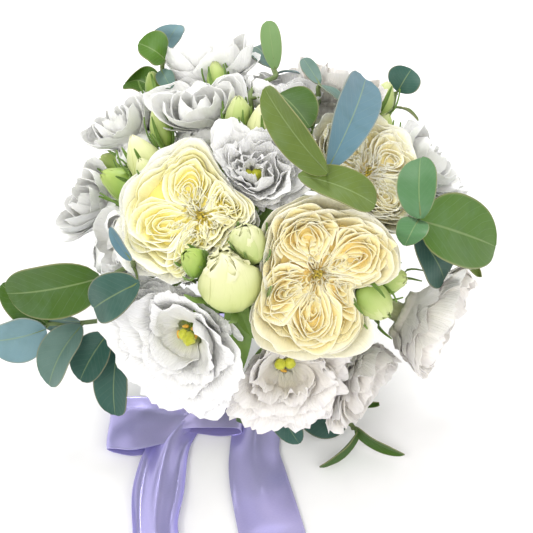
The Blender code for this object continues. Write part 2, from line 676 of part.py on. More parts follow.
def grow_plants(flowers):
    """Branches of each rose, lisianthus spray and eucalyptus sprig, from the binding outwards."""
    plants = [(name, (name,)) for name in FLOWERS if name.startswith("rose")]
    plants += [(f"spray_{i}", names) for i, names in enumerate(SPRAYS, 1)]
    targets = [np.mean([flowers[n].base for n in names], axis=0) for _, names in plants]
    for name, (stem, _) in SPRIGS.items():
        plants.append((name, None))
        targets.append(on_head(*stem[0]))
    branches = []
    slots = choose_slots(targets)
    for plant, ((name, names), slot, target) in enumerate(zip(plants, slots, targets)):
        start = at_station(slot, BIND_BACK)
        way = unit(start - at_station(slot, BIND_BACK + 5))
        if names is None:
            stem = [on_head(*spot) for spot in SPRIGS[name][0]]
            first = curve(start, way, stem[0], unit(stem[1] - stem[0]), 18)
            rest = through(stem, 6 * len(stem) - 5)[1:]
            branches.append(Branch(np.concatenate([first, rest]), LEAF_STEM_RADIUS, plant))
            continue
        if len(names) > 1:
            fork = start + FORK * (target - start)
            branches.append(Branch(curve(start, way, fork, unit(target - start), 10), STEM_RADIUS, plant, None, 1))
            start, way = fork, unit(fork - start)
        for member in names:
            flower = flowers[member]
            radius = BUD_STEM_RADIUS if member.startswith("bud") else STEM_RADIUS
            path = curve(start, way, flower.base - 4 * flower.axis, flower.axis, 20 if len(names) == 1 else 15)
            end = 1.5 * flower.axis if member.startswith("bud") else -2 * flower.axis
            path = np.concatenate([path, [flower.base + end]])
            branches.append(Branch(path, radius, plant, flower, 3))
    spread(branches, list(flowers.values()))
    return plants, slots, branches


def beads(path, radius, step=2.0):
    """Points close together along a path, with its radius, for others to keep clear of."""
    length = np.concatenate([[0], np.cumsum(np.linalg.norm(np.diff(path, axis=0), axis=1))])
    t = np.linspace(0, length[-1], max(int(length[-1] / step), 1) + 1)
    spots = np.stack([np.interp(t, length, path[:, i]) for i in range(3)], 1)
    return np.column_stack([spots, np.full(len(spots), radius)])


# Leaves


def leaf_grid(base, tip, width, roll, arch, widest, rows, cols):
    """Mid-surface of a leaf between its base and tip, folded a little along its rib."""
    a = np.linspace(0, 1, rows)[:, None, None]
    b = np.linspace(-1, 1, cols)[None, :, None]
    along = tip - base
    up = outward((base + tip) / 2) * 0.6 + FACE * 0.4
    up = unit(up - (up @ unit(along)) * unit(along))
    side = np.cross(unit(along), up)
    turn = math.radians(roll)
    side, up = side * math.cos(turn) + up * math.sin(turn), up * math.cos(turn) - side * math.sin(turn)
    p, q = widest, 1 - widest
    shape = np.clip(a, 0.004, 0.996) ** p * (1 - np.clip(a, 0.004, 0.996)) ** q / (p**p * q**q)
    half = np.maximum(0.5 * width * shape**0.95, 0.5)
    fold = 0.14 * width * np.abs(b) ** 1.5 * shape
    return base + a * along + b * half * side + (4 * arch * a * (1 - a) + fold) * up


def finer(grid, times):
    """A grid of points with straight steps between its rows and columns."""
    for axis in (0, 1):
        count = grid.shape[axis]
        t = np.linspace(0, count - 1, times * (count - 1) + 1)
        i = np.minimum(t.astype(int), count - 2)
        s = (t - i).reshape((-1, 1, 1) if axis == 0 else (1, -1, 1))
        grid = (1 - s) * np.take(grid, i, axis) + s * np.take(grid, i + 1, axis)
    return grid


def blocked(points, flowers, dots, clear):
    """Whether points lie in a flower's pressed shape or near one of the dots."""
    inside = np.zeros(points.shape[:-1], bool)
    for flower in flowers:
        away = points - flower.star
        far = np.maximum(np.linalg.norm(away, axis=-1), 1e-6)
        near = far < flower.reach.max() + clear
        if near.any():
            full, free = flower.towards(away / far[..., None])
            inside |= far < np.minimum(full, free) + clear
    if len(dots):
        flat = points.reshape(-1, 3)
        far = np.linalg.norm(flat[:, None] - dots[None, :, :3], axis=-1)
        inside |= (far < dots[:, 3] + clear - 0.4).any(1).reshape(inside.shape)
    return inside


def settle(grid, flowers, dots, way):
    """Moves a leaf's points along way until it is clear of the flowers, stems and earlier leaves."""
    times = 4
    move = np.zeros(grid.shape[:2])
    for _ in range(70):
        grid_now = grid + move[..., None] * way
        grid_now[..., 2] = np.maximum(grid_now[..., 2], LEAF_THICK / 2 + 0.05)
        inside = blocked(finer(grid_now, times), flowers, dots, LEAF_CLEAR)
        if not inside.any():
            break
        wide = np.pad(inside, times)
        hit = np.zeros(grid.shape[:2], bool)
        for i in range(grid.shape[0]):
            for j in range(grid.shape[1]):
                hit[i, j] = wide[i * times:(i + 2) * times + 1, j * times:(j + 2) * times + 1].any()
        move = move + np.where(hit, 0.8, 0)
        soft = move.copy()
        soft[1:-1] = np.maximum(soft[1:-1], 0.5 * (move[:-2] + move[2:]) - 2)
        move = np.maximum(soft, soft.max(axis=1, keepdims=True) - 3)
    return grid_now


# Ribbon

# Left end of the ribbon: x, y, z, half width and how much its edges curl up
LEFT_STRAND = [
    (-2, 82, 34.5, 4, 0), (-12, 50, 14, 9, 0), (-20, 28, 1.6, 15, 0), (-32, -6, 0.4, 18, 0), (-43, -38, 0.4, 15, 0),
    (-47, -56, 0.4, 10, 0), (-57, -76, 0.4, 12.5, 2), (-62, -108, 0.4, 15, 4), (-63, -138, 0.4, 13, 5),
    (-57, -172, 0.4, 16, 3), (-51, -205, 0.4, 19, 0.5),
]
RIGHT_STRAND = [
    (5, 80, 28.6, 4, 0), (14, 46, 11, 9, 0), (17, 26, 1.4, 14, 0), (12, -10, 0.4, 16, 0), (-1, -42, 0.4, 15, 0),
    (-6, -74, 0.4, 14.5, 1), (-4, -98, 0.4, 17, 2), (4, -136, 0.4, 19, 1), (12, -172, 0.4, 19, 0), (20, -207, 0.4, 19, 0),
]
# Loops of the bow: x, y, z and half width, from the pinch over the top and back below
LEFT_LOOP = [
    (-44, -55, 4.6, 9), (-58, -60, 8, 15), (-75, -63, 10, 19), (-88, -62, 8.6, 18.5), (-92.5, -61, 5.4, 18),
    (-88, -61, 2.2, 18.5), (-75, -62, 1.6, 19), (-58, -59, 1.6, 15), (-44, -55, 2.2, 9),
]
RIGHT_LOOP = [
    (-51, -55, 4.6, 9), (-38, -52, 8, 14), (-25, -50, 9.4, 17), (-16.5, -49, 7.8, 17.5), (-13.5, -49, 5.2, 17.5),
    (-16.5, -49, 2.8, 17.5), (-27, -50, 1.8, 17), (-40, -52, 1.6, 13), (-51, -55, 2.2, 9),
]


def strand_grid(controls, count, cols):
    """Mid-surface of a strand of ribbon that lies along a path, its edges curled up a little."""
    line = through(controls, count)
    line[:, 2:] = np.maximum(line[:, 2:], [RIBBON_THICK / 2, 1, 0])
    along = np.gradient(line[:, :3], axis=0)
    across = unit(np.stack([-along[:, 1], along[:, 0], 0 * along[:, 0]], 1))
    b = np.linspace(-1, 1, cols)[None, :, None]
    grid = line[:, None, :3] + b * (line[:, 3, None] * across)[:, None]
    grid[..., 2] += line[:, 4, None] * b[..., 0] ** 2
    return grid


def loop_grid(controls, count, cols):
    """Mid-surface of a flattened loop of the bow."""
    line = through(controls, count)
    b = np.linspace(-1, 1, cols)[None, :, None]
    return line[:, None, :3] + b * line[:, None, 3, None] * np.array([0.0, 1.0, 0.0])


def bundle_radius(back):
    grow = 1 + (FLARE - 1) * max(back - BIND_BACK, 0) / (END_BACK - BIND_BACK)
    return grow * np.linalg.norm(bundle_slots(STEM_COUNT)[-1]) + STEM_RADIUS


def wrap_solid(sides=16):
    """Ribbon wound round the stems: a sleeve open at both ends."""
    turn = (np.arange(sides) + 0.5) * 2 * math.pi / sides
    rings = []
    for back, outer in [(b, 0) for b in WRAP_BACKS] + [(b, WRAP_THICK) for b in WRAP_BACKS[::-1]]:
        radius = (bundle_radius(back) + SEAT) / math.cos(math.pi / sides) + outer
        middle = MIDDLE - back * AXIS
        rings.append(middle + radius * (np.cos(turn)[:, None] * RIGHT + np.sin(turn)[:, None] * SIDE))
    faces, count = [], len(rings)
    for i in range(count):
        for j in range(sides):
            k, n = (j + 1) % sides, (i + 1) % count
            a, b, c, d = i * sides + j, i * sides + k, n * sides + k, n * sides + j
            faces += [(a, b, c), (a, c, d)]
    return np.concatenate(rings), np.array(faces)


def knot_solid():
    """Knot under the wrap, from which both ends of the ribbon come."""
    back = WRAP_BACKS[1]
    outer = (bundle_radius(back) + SEAT) / math.cos(math.pi / 16) + WRAP_THICK
    points, faces = turned([(0, -5), (7, -4), (9.5, 0), (7, 4), (0, 5)], 8)
    frame = np.array([RIGHT, -AXIS, SIDE])
    centre = MIDDLE - back * AXIS - (outer + SEAT + 5) * SIDE
    return centre + points * np.array([1.0, 0.8, 1.0]) @ frame, faces


# Meshes and materials

COLOURS = {
    "rose_petals": ((0.93, 0.86, 0.58), 0.55),
    "rose_stamens": ((0.62, 0.56, 0.12), 0.6),
    "white_petals": ((0.90, 0.90, 0.87), 0.5),
    "pistil": ((0.60, 0.65, 0.12), 0.5),
    "green_stems": ((0.30, 0.42, 0.12), 0.5),
    "eucalyptus": ((0.22, 0.36, 0.24), 0.55),
    "ribbon": ((0.55, 0.53, 0.82), 0.3),
}


def material(name):
    made = bpy.data.materials.get(name)
    if made is None:
        made = bpy.data.materials.new(name)
        made.use_nodes = True
        shader = made.node_tree.nodes["Principled BSDF"]
        colour, rough = COLOURS[name]
        shader.inputs["Base Color"].default_value = (*colour, 1)
        shader.inputs["Roughness"].default_value = rough
        shader.inputs["Metallic"].default_value = 0.0
    return made


def mesh_object(name, solid, collection):
    points, faces = solid
    mesh = bpy.data.meshes.new(name)
    mesh.from_pydata(((np.asarray(points) - ORIGIN) * MM).tolist(), [], np.asarray(faces).tolist())
    made = bpy.data.objects.new(name, mesh)
    collection.objects.link(made)
    return made


def drop_scraps(mesh):
    """Removes loose scraps and sealed hollows, which a union of many petals can leave."""
    work = bmesh.new()
    work.from_mesh(mesh)
    islands, seen = [], set()
    for first in work.faces:
        if first in seen:
            continue
        island, stack = [], [first]
        seen.add(first)
        while stack:
            face = stack.pop()
            island.append(face)
            for edge in face.edges:
                for other in edge.link_faces:
                    if other not in seen:
                        seen.add(other)
                        stack.append(other)
        islands.append(island)
    largest = max(islands, key=lambda found: sum(f.calc_area() for f in found))
    loose = [face for island in islands if island is not largest for face in island]
    bmesh.ops.delete(work, geom=loose, context="FACES")
    work.to_mesh(mesh)
    work.free()


def fuse(name, solids, finish):
    """One node from several overlapping solids."""
    scene = bpy.context.scene.collection
    made = mesh_object(name, solids[0], scene)
    if len(solids) > 1:
        parts = bpy.data.collections.new(name + "_parts")
        scene.children.link(parts)
        for i, solid in enumerate(solids[1:]):
            mesh_object(f"{name}_part_{i}", solid, parts)
        join = made.modifiers.new("join", "BOOLEAN")
        join.operation = "UNION"
        join.operand_type = "COLLECTION"
        join.collection = parts
        join.solver = "MANIFOLD"
        graph = bpy.context.evaluated_depsgraph_get()
        joined = bpy.data.meshes.new_from_object(made.evaluated_get(graph))
        made.modifiers.clear()
        made.data = joined
        for part in list(parts.objects):
            bpy.data.objects.remove(part)
        bpy.data.collections.remove(parts)
        drop_scraps(joined)
    made.data.name = name
    made.data.materials.clear()
    made.data.materials.append(material(finish))
    made.data.shade_smooth()
    made.data.set_sharp_from_angle(angle=math.radians(40))
    return made


# The bouquet


def lay_out():
    """Flowers, plants, slots and branches, with each flower's room measured."""
    flowers = {name: Flower(name, *spec) for name, spec in {**FLOWERS, **BUDS}.items()}
    plants, slots, branches = grow_plants(flowers)
    ribbon = [finer(strand_grid(LEFT_STRAND, 60, 5), 1), finer(strand_grid(RIGHT_STRAND, 60, 5), 1)]
    ribbon += [loop_grid(LEFT_LOOP, 24, 9), loop_grid(RIGHT_LOOP, 24, 9)]
    cloth = np.concatenate([np.column_stack([g.reshape(-1, 3), np.full(g.shape[0] * g.shape[1], 1.6)]) for g in ribbon])
    for flower in flowers.values():
        others = [f for f in flowers.values() if f is not flower]
        dots = [b.dots() for b in branches if b.flower is not flower]
        measure_room(flower, others, np.concatenate([cloth, *dots]))
    return flowers, plants, slots, branches, cloth


def pressed(flower, solids):
    return [(press(flower, flower.place(points)), faces) for points, faces in solids]


def stem_solids(plant, slot, branches):
    """The handle end of a plant's stem and its branches, as rods."""
    own = [b for b in branches if b.plant == plant]
    backs = (END_BACK, 0.66 * END_BACK + 0.34 * BIND_BACK, 0.33 * END_BACK + 0.67 * BIND_BACK)
    handle = np.array([at_station(slot, back) for back in backs])
    main = own[0]
    beyond = thinned(main.path, 0.3)
    radii = [STEM_RADIUS] * (len(handle) + 1) + [main.radius] * (len(beyond) - 1)
    solids = [tube(np.concatenate([handle, beyond]), np.array(radii), 5)]
    for branch in own[1:]:
        solids.append(tube(thinned(branch.path, 0.8), branch.radius, 4 if branch.radius < STEM_RADIUS else 5))
    return solids


def build_flowers(flowers):
    for i in range(1, 4):
        rose = flowers[f"rose_{i}"]
        fuse(f"garden_rose_{i}_petals", pressed(rose, rose.solids), "rose_petals")
        fuse(f"garden_rose_{i}_stamens", pressed(rose, [stamen_solid(rose)]), "rose_stamens")
    for i in range(1, 6):
        flower = flowers[f"open_{i}"]
        fuse(f"lisianthus_{i}_petals", pressed(flower, flower.solids), "white_petals")
        fuse(f"lisianthus_{i}_pistil", pressed(flower, [pistil_solid(flower)]), "pistil")
    for i in range(1, 11):
        flower = flowers[f"cup_{i}"]
        fuse(f"half_open_lisianthus_{i}_petals", pressed(flower, flower.solids), "white_petals")


def stalked(grid, stem, flowers, dots):
    """A leaf's mid-surface with its stalk added, down to the nearest point of the stem with a clear way."""
    base = grid[0, 1]
    order = np.argsort(np.linalg.norm(stem[:-1] - base, axis=1))
    clear = [i for i in order[:14] if not blocked(beads(np.array([base, stem[i]]), 0)[:, :3], flowers, dots, 1.0).any()]
    foot = stem[(clear or order)[0]]
    side = unit(grid[1, 2] - grid[1, 0])
    b = np.array([-1.0, 0.0, 1.0])[:, None]
    return np.concatenate([[foot + b * STALK_HALF * side, base + b * STALK_HALF * side], grid[1:]])


def build_sprig(name, solids, stem, flowers, dots):
    """Leaves of one sprig, joined to its stem by short stalks. Gives the dots of each."""
    for base, tip, width, roll, arch, widest in SPRIGS[name][1]:
        way = FACE if base[2] + tip[2] >= 0 else -AXIS
        grid = leaf_grid(on_head(*base), on_head(*tip), width, roll, arch, widest, 5 if width > 30 else 4 if width > 12 else 3, 3)
        grid = settle(grid, list(flowers.values()), dots, way)
        whole = stalked(grid, stem, list(flowers.values()), dots)
        solids.append(blade(whole, LEAF_THICK))
        cover = finer(whole, 4).reshape(-1, 3)
        yield np.column_stack([cover, np.full(len(cover), 0.5)])


def build():
    for old in list(bpy.data.objects):
        bpy.data.objects.remove(old)
    flowers, plants, slots, branches, cloth = lay_out()
    build_flowers(flowers)
    leaves = []
    for plant, ((name, names), slot) in enumerate(zip(plants, slots)):
        solids = stem_solids(plant, slot, branches)
        if names is None:
            foreign = [b.dots() for b in branches if b.plant != plant]
            dots = np.concatenate([cloth, *foreign, *leaves])
            main = next(b.path for b in branches if b.plant == plant)
            leaves += list(build_sprig(name, solids, main, flowers, dots))
            fuse(f"eucalyptus_{name}", solids, "eucalyptus")
            continue
        for member in names:
            flower = flowers[member]
            if member.startswith("bud"):
                solids += pressed(flower, flower.solids)
            else:
                points, faces = cup_of_sepals(flower)
                solids.append((flower.place(points), faces))
        node = name.replace("rose", "garden_rose") + "_stem" if name.startswith("rose") else f"lisianthus_{name}"
        fuse(node, solids, "green_stems")
    fuse("ribbon_wrap", [wrap_solid()], "ribbon")
    left = [blade(strand_grid(LEFT_STRAND, 18, 3), RIBBON_THICK), knot_solid()]
    left += [blade(loop_grid(loop, 10, 3), RIBBON_THICK) for loop in (LEFT_LOOP, RIGHT_LOOP)]
    pinch = turned([(0, 0), (4, 0.4), (5, 2.5), (4, 4.6), (0, 5)], 6)
    left.append((pinch[0] + np.array([-47.5, -55, 0.0]), pinch[1]))
    fuse("ribbon_left_end_and_bow", left, "ribbon")
    fuse("ribbon_right_end", [blade(strand_grid(RIGHT_STRAND, 16, 3), RIBBON_THICK)], "ribbon")


build()
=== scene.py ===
"""Looks of the bridal bouquet: fine petals, leaves, stems and satin in place of the plain solids.

The first half lays the bouquet out exactly as the part's source does, from the same values, in
millimetres. The second half builds each piece finely in its place. +Z is up, the surface is z = 0.
"""

import math

import bpy
import numpy as np
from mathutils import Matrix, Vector


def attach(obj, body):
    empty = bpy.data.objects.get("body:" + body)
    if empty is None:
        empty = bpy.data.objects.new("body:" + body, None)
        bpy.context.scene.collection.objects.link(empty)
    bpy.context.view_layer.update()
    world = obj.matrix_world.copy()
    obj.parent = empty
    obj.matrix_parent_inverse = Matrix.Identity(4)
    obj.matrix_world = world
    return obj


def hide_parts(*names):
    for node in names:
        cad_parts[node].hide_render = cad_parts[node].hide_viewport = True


MM = 0.001
ORIGIN = np.array([-14.3, -18.4, 0.0])  # the finished bouquet's origin, below the middle of its box

# Pose of the bouquet on the surface
AXIS_RISE = math.radians(28)  # the stems' axis climbs this much from the cut ends to the flowers
FACE_RISE = math.radians(50)  # the direction that the chart is drawn from
MIDDLE = np.array([0.0, 0.0, 104.0])
HEAD_HALF = np.array([108.0, 95.0, 92.0])  # half sizes of the head across, upwards and along its axis
BIND_BACK = 84.0  # from the middle of the head back to the binding
END_BACK = 189.4  # and to the cut ends

# Stems
STEM_PITCH = 4.35
STEM_RADIUS = 1.9
BUD_STEM_RADIUS = 1.5
LEAF_STEM_RADIUS = 1.4
STEM_COUNT = 27
SPIRAL = math.radians(24)  # the handle's twist from the binding to the cut ends
FLARE = 1.16  # how much wider the bundle is at the cut ends
FORK = 0.42  # how far along a lisianthus spray forks

# Ribbon
WRAP_BACKS = (86.0, 106.0, 130.0)  # the band's ends and its knot, back from the middle of the head
RIBBON_THICK = 0.8
CLOTH_ROOM = 1.6  # round the ribbon's points

# Clearances
GAP = 0.55  # each flower keeps this to the boundary it shares with a neighbour
SEAT = 0.35  # between petals and the green part that carries them
FLOOR = 0.6
LEAF_CLEAR = 1.9
STEM_CLEAR = 2.0
SPREAD_ROUNDS = 260  # rounds in which stems move apart
SETTLE_ROUNDS, SETTLE_STEP = 70, 0.8  # and leaves move clear, with how far at a time

# Share of its radius that a flower claims against its neighbours
CLAIMS = {"rose": 1.0, "open": 0.96, "cup": 0.88, "bud": 1.15}

# Room that a flower has, measured from a star point on its axis
STAR = 0.55  # its place along the flower's depth
ROOM_RINGS, ROOM_SPOKES, ROOM_REACH = 25, 48, 80.0
LEAST_ROOM = 3.0

PETAL_THICK = 0.8
DISC = 1.8  # thickness of the disc that a whorl's petals grow from
DISC_PITCH = 2.3  # from one whorl's disc to the next
LEAF_THICK = 0.8
STALK_HALF = 0.9

RIGHT = np.array([1.0, 0.0, 0.0])
UP = np.array([0.0, math.sin(FACE_RISE), math.cos(FACE_RISE)])
FACE = np.array([0.0, -math.cos(FACE_RISE), math.sin(FACE_RISE)])
SIDE = np.array([0.0, math.sin(AXIS_RISE), math.cos(AXIS_RISE)])
AXIS = np.array([0.0, -math.cos(AXIS_RISE), math.sin(AXIS_RISE)])
HEAD_AXES = np.array([RIGHT, SIDE, AXIS])

# Open and half-open flowers: x, v, lift, radius, depth, and how far the flower leans right and up
FLOWERS = {
    "rose_1": (-43, 17, 6, 48, 36, 0, 0),
    "rose_2": (32, -24, 8, 48, 36, 0, 0),
    "rose_3": (60, 38, 0, 38, 32, 0, 0),
    "open_1": (-51, -62, 6, 52, 40, -0.1, 0.15),
    "open_2": (14, -85, 6, 42, 40, 0, 0.35),
    "open_3": (66, -82, 2, 42, 38, 0.1, 0.35),
    "open_4": (102, -56, 2, 46, 42, 0.1, 0.1),
    "open_5": (-8, 43, 2, 40, 38, 0, 0.3),
    "cup_1": (-38, 84, 0, 31, 46, 0, 0.3),
    "cup_2": (-86, 72, 0, 23, 38, 0, 0.3),
    "cup_3": (-108, 26, 0, 25, 40, 0, 0.2),
    "cup_4": (-86, -4, -6, 22, 38, -0.3, 0.2),
    "cup_5": (-34, 110, -8, 26, 38, 0, 0.2),
    "cup_6": (47, 92, 0, 28, 38, 0, 0.2),
    "cup_7": (100, 46, 0, 24, 38, 0.1, 0.1),
    "cup_8": (114, 24, -8, 17, 32, 0.1, 0),
    "cup_9": (8, 88, -8, 23, 36, 0, 0.2),
    "cup_10": (-50, -25, -4, 15, 32, 0, 0.2),
}

# Green buds: x, v, lift, radius, length, lean right and up
BUDS = {
    "bud_1": (-21, -21, 20, 17.5, 30, 0, 0.5),
    "bud_2": (-10, 0, 16, 10, 22, 0, 0.6),
    "bud_3": (-42, -12, 17, 7.5, 17, -0.4, 0.6),
    "bud_4": (66, -42, 20, 9.5, 21, 0.4, -0.5),
    "bud_5": (77, -25, 8, 8, 19, 1.0, 0.3),
    "bud_6": (-75, 56, 6, 10.5, 30, -0.3, 1.2),
    "bud_7": (-70, 42, 4, 7.5, 21, -0.3, 0.9),
    "bud_8": (-92, 34, 4, 10, 28, -0.9, 0.3),
    "bud_9": (-95, 47, 0, 8, 20, -0.9, 0.5),
    "bud_10": (-15, 77, 8, 8, 22, 0, 0.7),
    "bud_11": (-2, 72, 5, 10, 25, -0.1, 0.9),
    "bud_12": (-63, 72, 2, 6, 22, 0, 0.8),
    "bud_13": (-29, 101, 12, 5.5, 17, 0, 0.4),
    "bud_14": (70, 70, 6, 8, 27, -0.1, 0.7),
    "bud_15": (72, 90, 0, 7, 20, 0.2, 0.8),
    "bud_16": (-66, 96, 0, 6, 17, 0, 0.6),
}

# Each lisianthus stem branches to these flowers and buds
SPRAYS = [
    ("open_1", "bud_1", "bud_3"),
    ("open_2", "bud_2"),
    ("open_3", "bud_4", "bud_5"),
    ("open_4",),
    ("open_5", "bud_11"),
    ("cup_1", "bud_10", "bud_12", "bud_13"),
    ("cup_2", "bud_6", "bud_9"),
    ("cup_3", "bud_8"),
    ("cup_4", "bud_7", "cup_10"),
    ("cup_5", "bud_16"),
    ("cup_6", "bud_15", "bud_14"),
    ("cup_7", "cup_8"),
    ("cup_9",),
]

# Eucalyptus sprigs: the stem's way from the bundle, and each leaf's base and tip (x, v, lift), width,
# roll in degrees, arch, and where along the blade it is widest
SPRIGS = {
    "left_upper": (
        [(-60, -30, -45), (-80, -34, -14), (-94, -27, 0)],
        [((-92, -23, 2), (-149, -32, 4), 34, 15, 5, 0.45)],
    ),
    "left_lower": (
        [(-70, -50, -46), (-92, -54, -24), (-108, -50, -16), (-130, -50, -16)],
        [
            ((-128, -53, -14), (-162, -60, -16), 31, 10, 3, 0.5),
            ((-128, -50, -14), (-154, -27, -12), 22, -62, 2, 0.45),
            ((-108, -49, -12), (-134, -41, -14), 24, 12, 2, 0.5),
            ((-107, -51, -8), (-126, -86, -12), 30, -12, 4, 0.55),
            ((-92, -56, -8), (-108, -83, -14), 24, 0, 3, 0.5),
            ((-86, -64, -14), (-88, -104, -24), 25, 8, 3, 0.55),
        ],
    ),
    "left_slip": (
        [(-66, -32, -34), (-70, -30, -2), (-73, -14, 10)],
        [((-73, -13, 11), (-85, 5, 14), 8, 20, 1, 0.5), ((-69, -25, 2), (-96, -40, -1), 26, -10, 3, 0.5)],
    ),
    "top_left": (
        [(-60, 62, -45), (-62, 84, -14), (-59, 102, 0)],
        [
            ((-58, 103, 2), (-73, 112, 6), 25, 10, 2, 0.5),
            ((-57, 104, -4), (-50, 124, -8), 23, 0, 2, 0.5),
            ((-60, 97, 0), (-54, 86, 8), 11, 0, 1, 0.5),
            ((-62, 82, -10), (-82, 90, -14), 24, 0, 3, 0.5),
        ],
    ),
    "top_middle": (
        [(6, 52, -40), (6, 74, -6), (6, 96, 4)],
        [
            ((6, 97, 5), (2, 125, 8), 12, 20, 1, 0.6),
            ((7, 95, 5), (20, 94, 8), 6, 30, 1, 0.5),
            ((4, 80, -4), (-10, 96, -12), 22, 0, 3, 0.5),
            ((8, 80, 2), (25, 60, 8), 26, 0, 3, 0.45),
        ],
    ),
    "top_right": (
        [(26, 56, -40), (26, 76, -6), (31, 86, 6)],
        [
            ((31, 87, 7), (22, 103, 10), 9, 25, 1, 0.5),
            ((31, 86, 7), (42, 76, 12), 10, 20, 1, 0.5),
        ],
    ),
    "middle": (
        [(24, 26, -40), (29, 29, 2), (34, 34, 14)],
        [
            ((34, 36, 15), (57, 90, 20), 26, -14, 5, 0.66),
            ((34, 34, 16), (0, 82, 22), 25, 58, 3, 0.5),
            ((18, 33, 13), (60, 17, 18), 23, 18, 5, 0.6),
        ],
    ),
    "right": (
        [(66, 4, -40), (80, 6, -6), (86, 9, 8)],
        [
            ((86, 9, 9), (133, -5, 6), 41, 0, 4, 0.38),
            ((86, 10, 9), (87, 44, 14), 24, 52, 3, 0.5),
            ((85, 9, 9), (77, -5, 16), 18, -40, 2, 0.5),
            ((84, 4, 3), (102, -24, 3), 28, 0, 3, 0.5),
            ((94, 2, -4), (128, -34, -8), 10, 0, 1, 0.5),
        ],
    ),
    "right_top": (
        [(62, 62, -40), (72, 78, -10), (76, 84, -4)],
        [
            ((77, 85, -3), (85, 98, -4), 20, 10, 2, 0.5),
            ((76, 76, -4), (89, 66, 0), 8, 20, 1, 0.5),
        ],
    ),
    "bottom_middle": (
        [(2, -64, -50), (4, -90, -26)],
        [((4, -92, -22), (20, -120, -14), 17, 10, 2, 0.45), ((2, -90, -22), (-14, -108, -14), 17, 0, 2, 0.5)],
    ),
    "bottom_right": (
        [(32, -62, -50), (46, -98, -30), (52, -112, -22)],
        [
            ((48, -112, -22), (21, -103, -24), 24, -20, 2, 0.5),
            ((55, -113, -20), (32, -134, -16), 17, 10, 2, 0.45),
            ((53, -111, -20), (82, -127, -18), 13, -10, 2, 0.4),
            ((46, -100, -28), (68, -104, -26), 8, 0, 1, 0.45),
        ],
    ),
}

# Fine petals: the share of the plain flower's reach that they may fill where there is room
FILL = {"rose": 0.96, "open": 0.98, "cup": 1.04, "bud": 1.1}
GROW = 1.3  # how much they may be stretched for it
TIGHT = 1.06  # how far past their room they go, so that rims of neighbours may meet
SPIKE = 1.06  # how far the room one way may stand out over the room beside it
LEAF_ROWS, LEAF_COLS = 21, 11
LOBE_FOLDS = 9  # folded petals in one lobe of a rose
DOME_WIDE = 0.82  # how far a rose's folded face goes, in shares of its radius
FOLD_DEEP = 6.5
INNER_FOLDS = 22  # short petals round a rose's middle
TUFT_THREADS = 46
BUD_PETALS = 5
BUD_WRAP = 2.3  # how far round the bud each of its petals goes, in radians

# Satin: its width, its pleats, where the band's middle lies and how far its turns drift
RIBBON_WIDE = 38.0
SATIN_THICK = 0.35
PLEATS, LOOP_PLEATS = 1, 1
WRAP_MIDDLE, WRAP_SHIFT, WRAP_TURNS = 108.0, 5.0, 2.0
BOW_X = -47.5

# Where the photograph shows a flower smaller than its room: the direction, in degrees, and by how much
TRIMS = {"rose_1": (118, 0.24), "open_1": (-90, 0.05), "rose_2": (60, 0.06)}

# Each rose: its look, where its middle is pushed to, and its lobes' directions and half spans in degrees
ROSES = {
    1: ("yellow_rose", (0.14, -0.12), [(20, 40), (-42, 26), (-100, 34), (-172, 40), (112, 44)]),
    2: ("cream_rose", (-0.04, 0.05), [(108, 46), (24, 38), (-38, 26), (-94, 32), (-158, 34)]),
    # the third rose takes a greyer, duller copy of the cream rose's colours as painted shade
    3: ("shaded_rose", (0.0, 0.0), [(45, 44), (-45, 44), (-135, 44), (135, 44)]),
}
# Each open lisianthus: its look, ruffle, where its throat is pushed to, how far it is turned to the viewer,
# how much it is a bell, and whether inner petals fill its throat
OPENS = {
    1: ("pure_white", 2.8, (-0.07, -0.12), 0.25, 0.0, False),
    2: ("warm_white", 4.4, (0.0, 0.05), 0.3, 0.25, False),
    3: ("warm_white", 4.4, (0.0, 0.0), 0.2, 0.5, True),
    4: ("warm_white", 3.4, (0.0, 0.0), 0.15, 1.0, True),
    5: ("pure_white", 4.4, (0.0, 0.0), 0.3, 0.25, True),
}
# Each half-open one: its look, ruffle, and how far it is turned to the viewer
CUPS = {
    1: ("cup_white", 1.4, 0.55),
    2: ("cup_white", 1.6, 0.45),
    3: ("cup_white", 1.4, 0.55),
    4: ("cup_white", 1.6, 0.3),
    5: ("cup_white", 2.4, 0.2),
    6: ("warm_white", 2.4, 0.3),
    7: ("cup_white", 1.8, 0.4),
    8: ("cup_white", 1.8, 0.3),
    9: ("pure_white", 2.0, 0.2),
    10: ("pure_white", 2.0, 0.0),
}
# Buds: how blunt each is, and its tone from dark green to pale
BUD_STYLES = {
    1: (0.85, 0.86), 2: (0.6, 0.60), 3: (0.4, 0.30), 4: (0.5, 0.48),
    5: (0.4, 0.45), 6: (0.0, 0.74), 7: (0.1, 0.60), 8: (0.25, 0.38),
    9: (0.2, 0.42), 10: (0.2, 0.48), 11: (0.0, 0.74), 12: (0.2, 0.46),
    13: (0.2, 0.46), 14: (0.15, 0.44), 15: (0.2, 0.52), 16: (0.2, 0.42),
}
# Outlines of a pointed and a blunt bud: heights, and distances from the axis
POINTED_BUD = [0, 0.06, 0.2, 0.38, 0.62, 0.8, 0.93, 1.0], [0.16, 0.42, 0.82, 1.0, 0.80, 0.48, 0.22, 0.03]
BLUNT_BUD = [0, 0.06, 0.2, 0.42, 0.7, 0.88, 0.96, 1.0], [0.3, 0.58, 0.88, 1.0, 0.95, 0.72, 0.46, 0.12]
# The way that a bud's tip is bent, in shares of its radius
BUD_TILTS = {1: (-0.15, 0.9), 2: (-0.1, 0.6), 3: (-0.2, 0.4), 4: (0.4, -0.6), 5: (0.4, 0.3)}
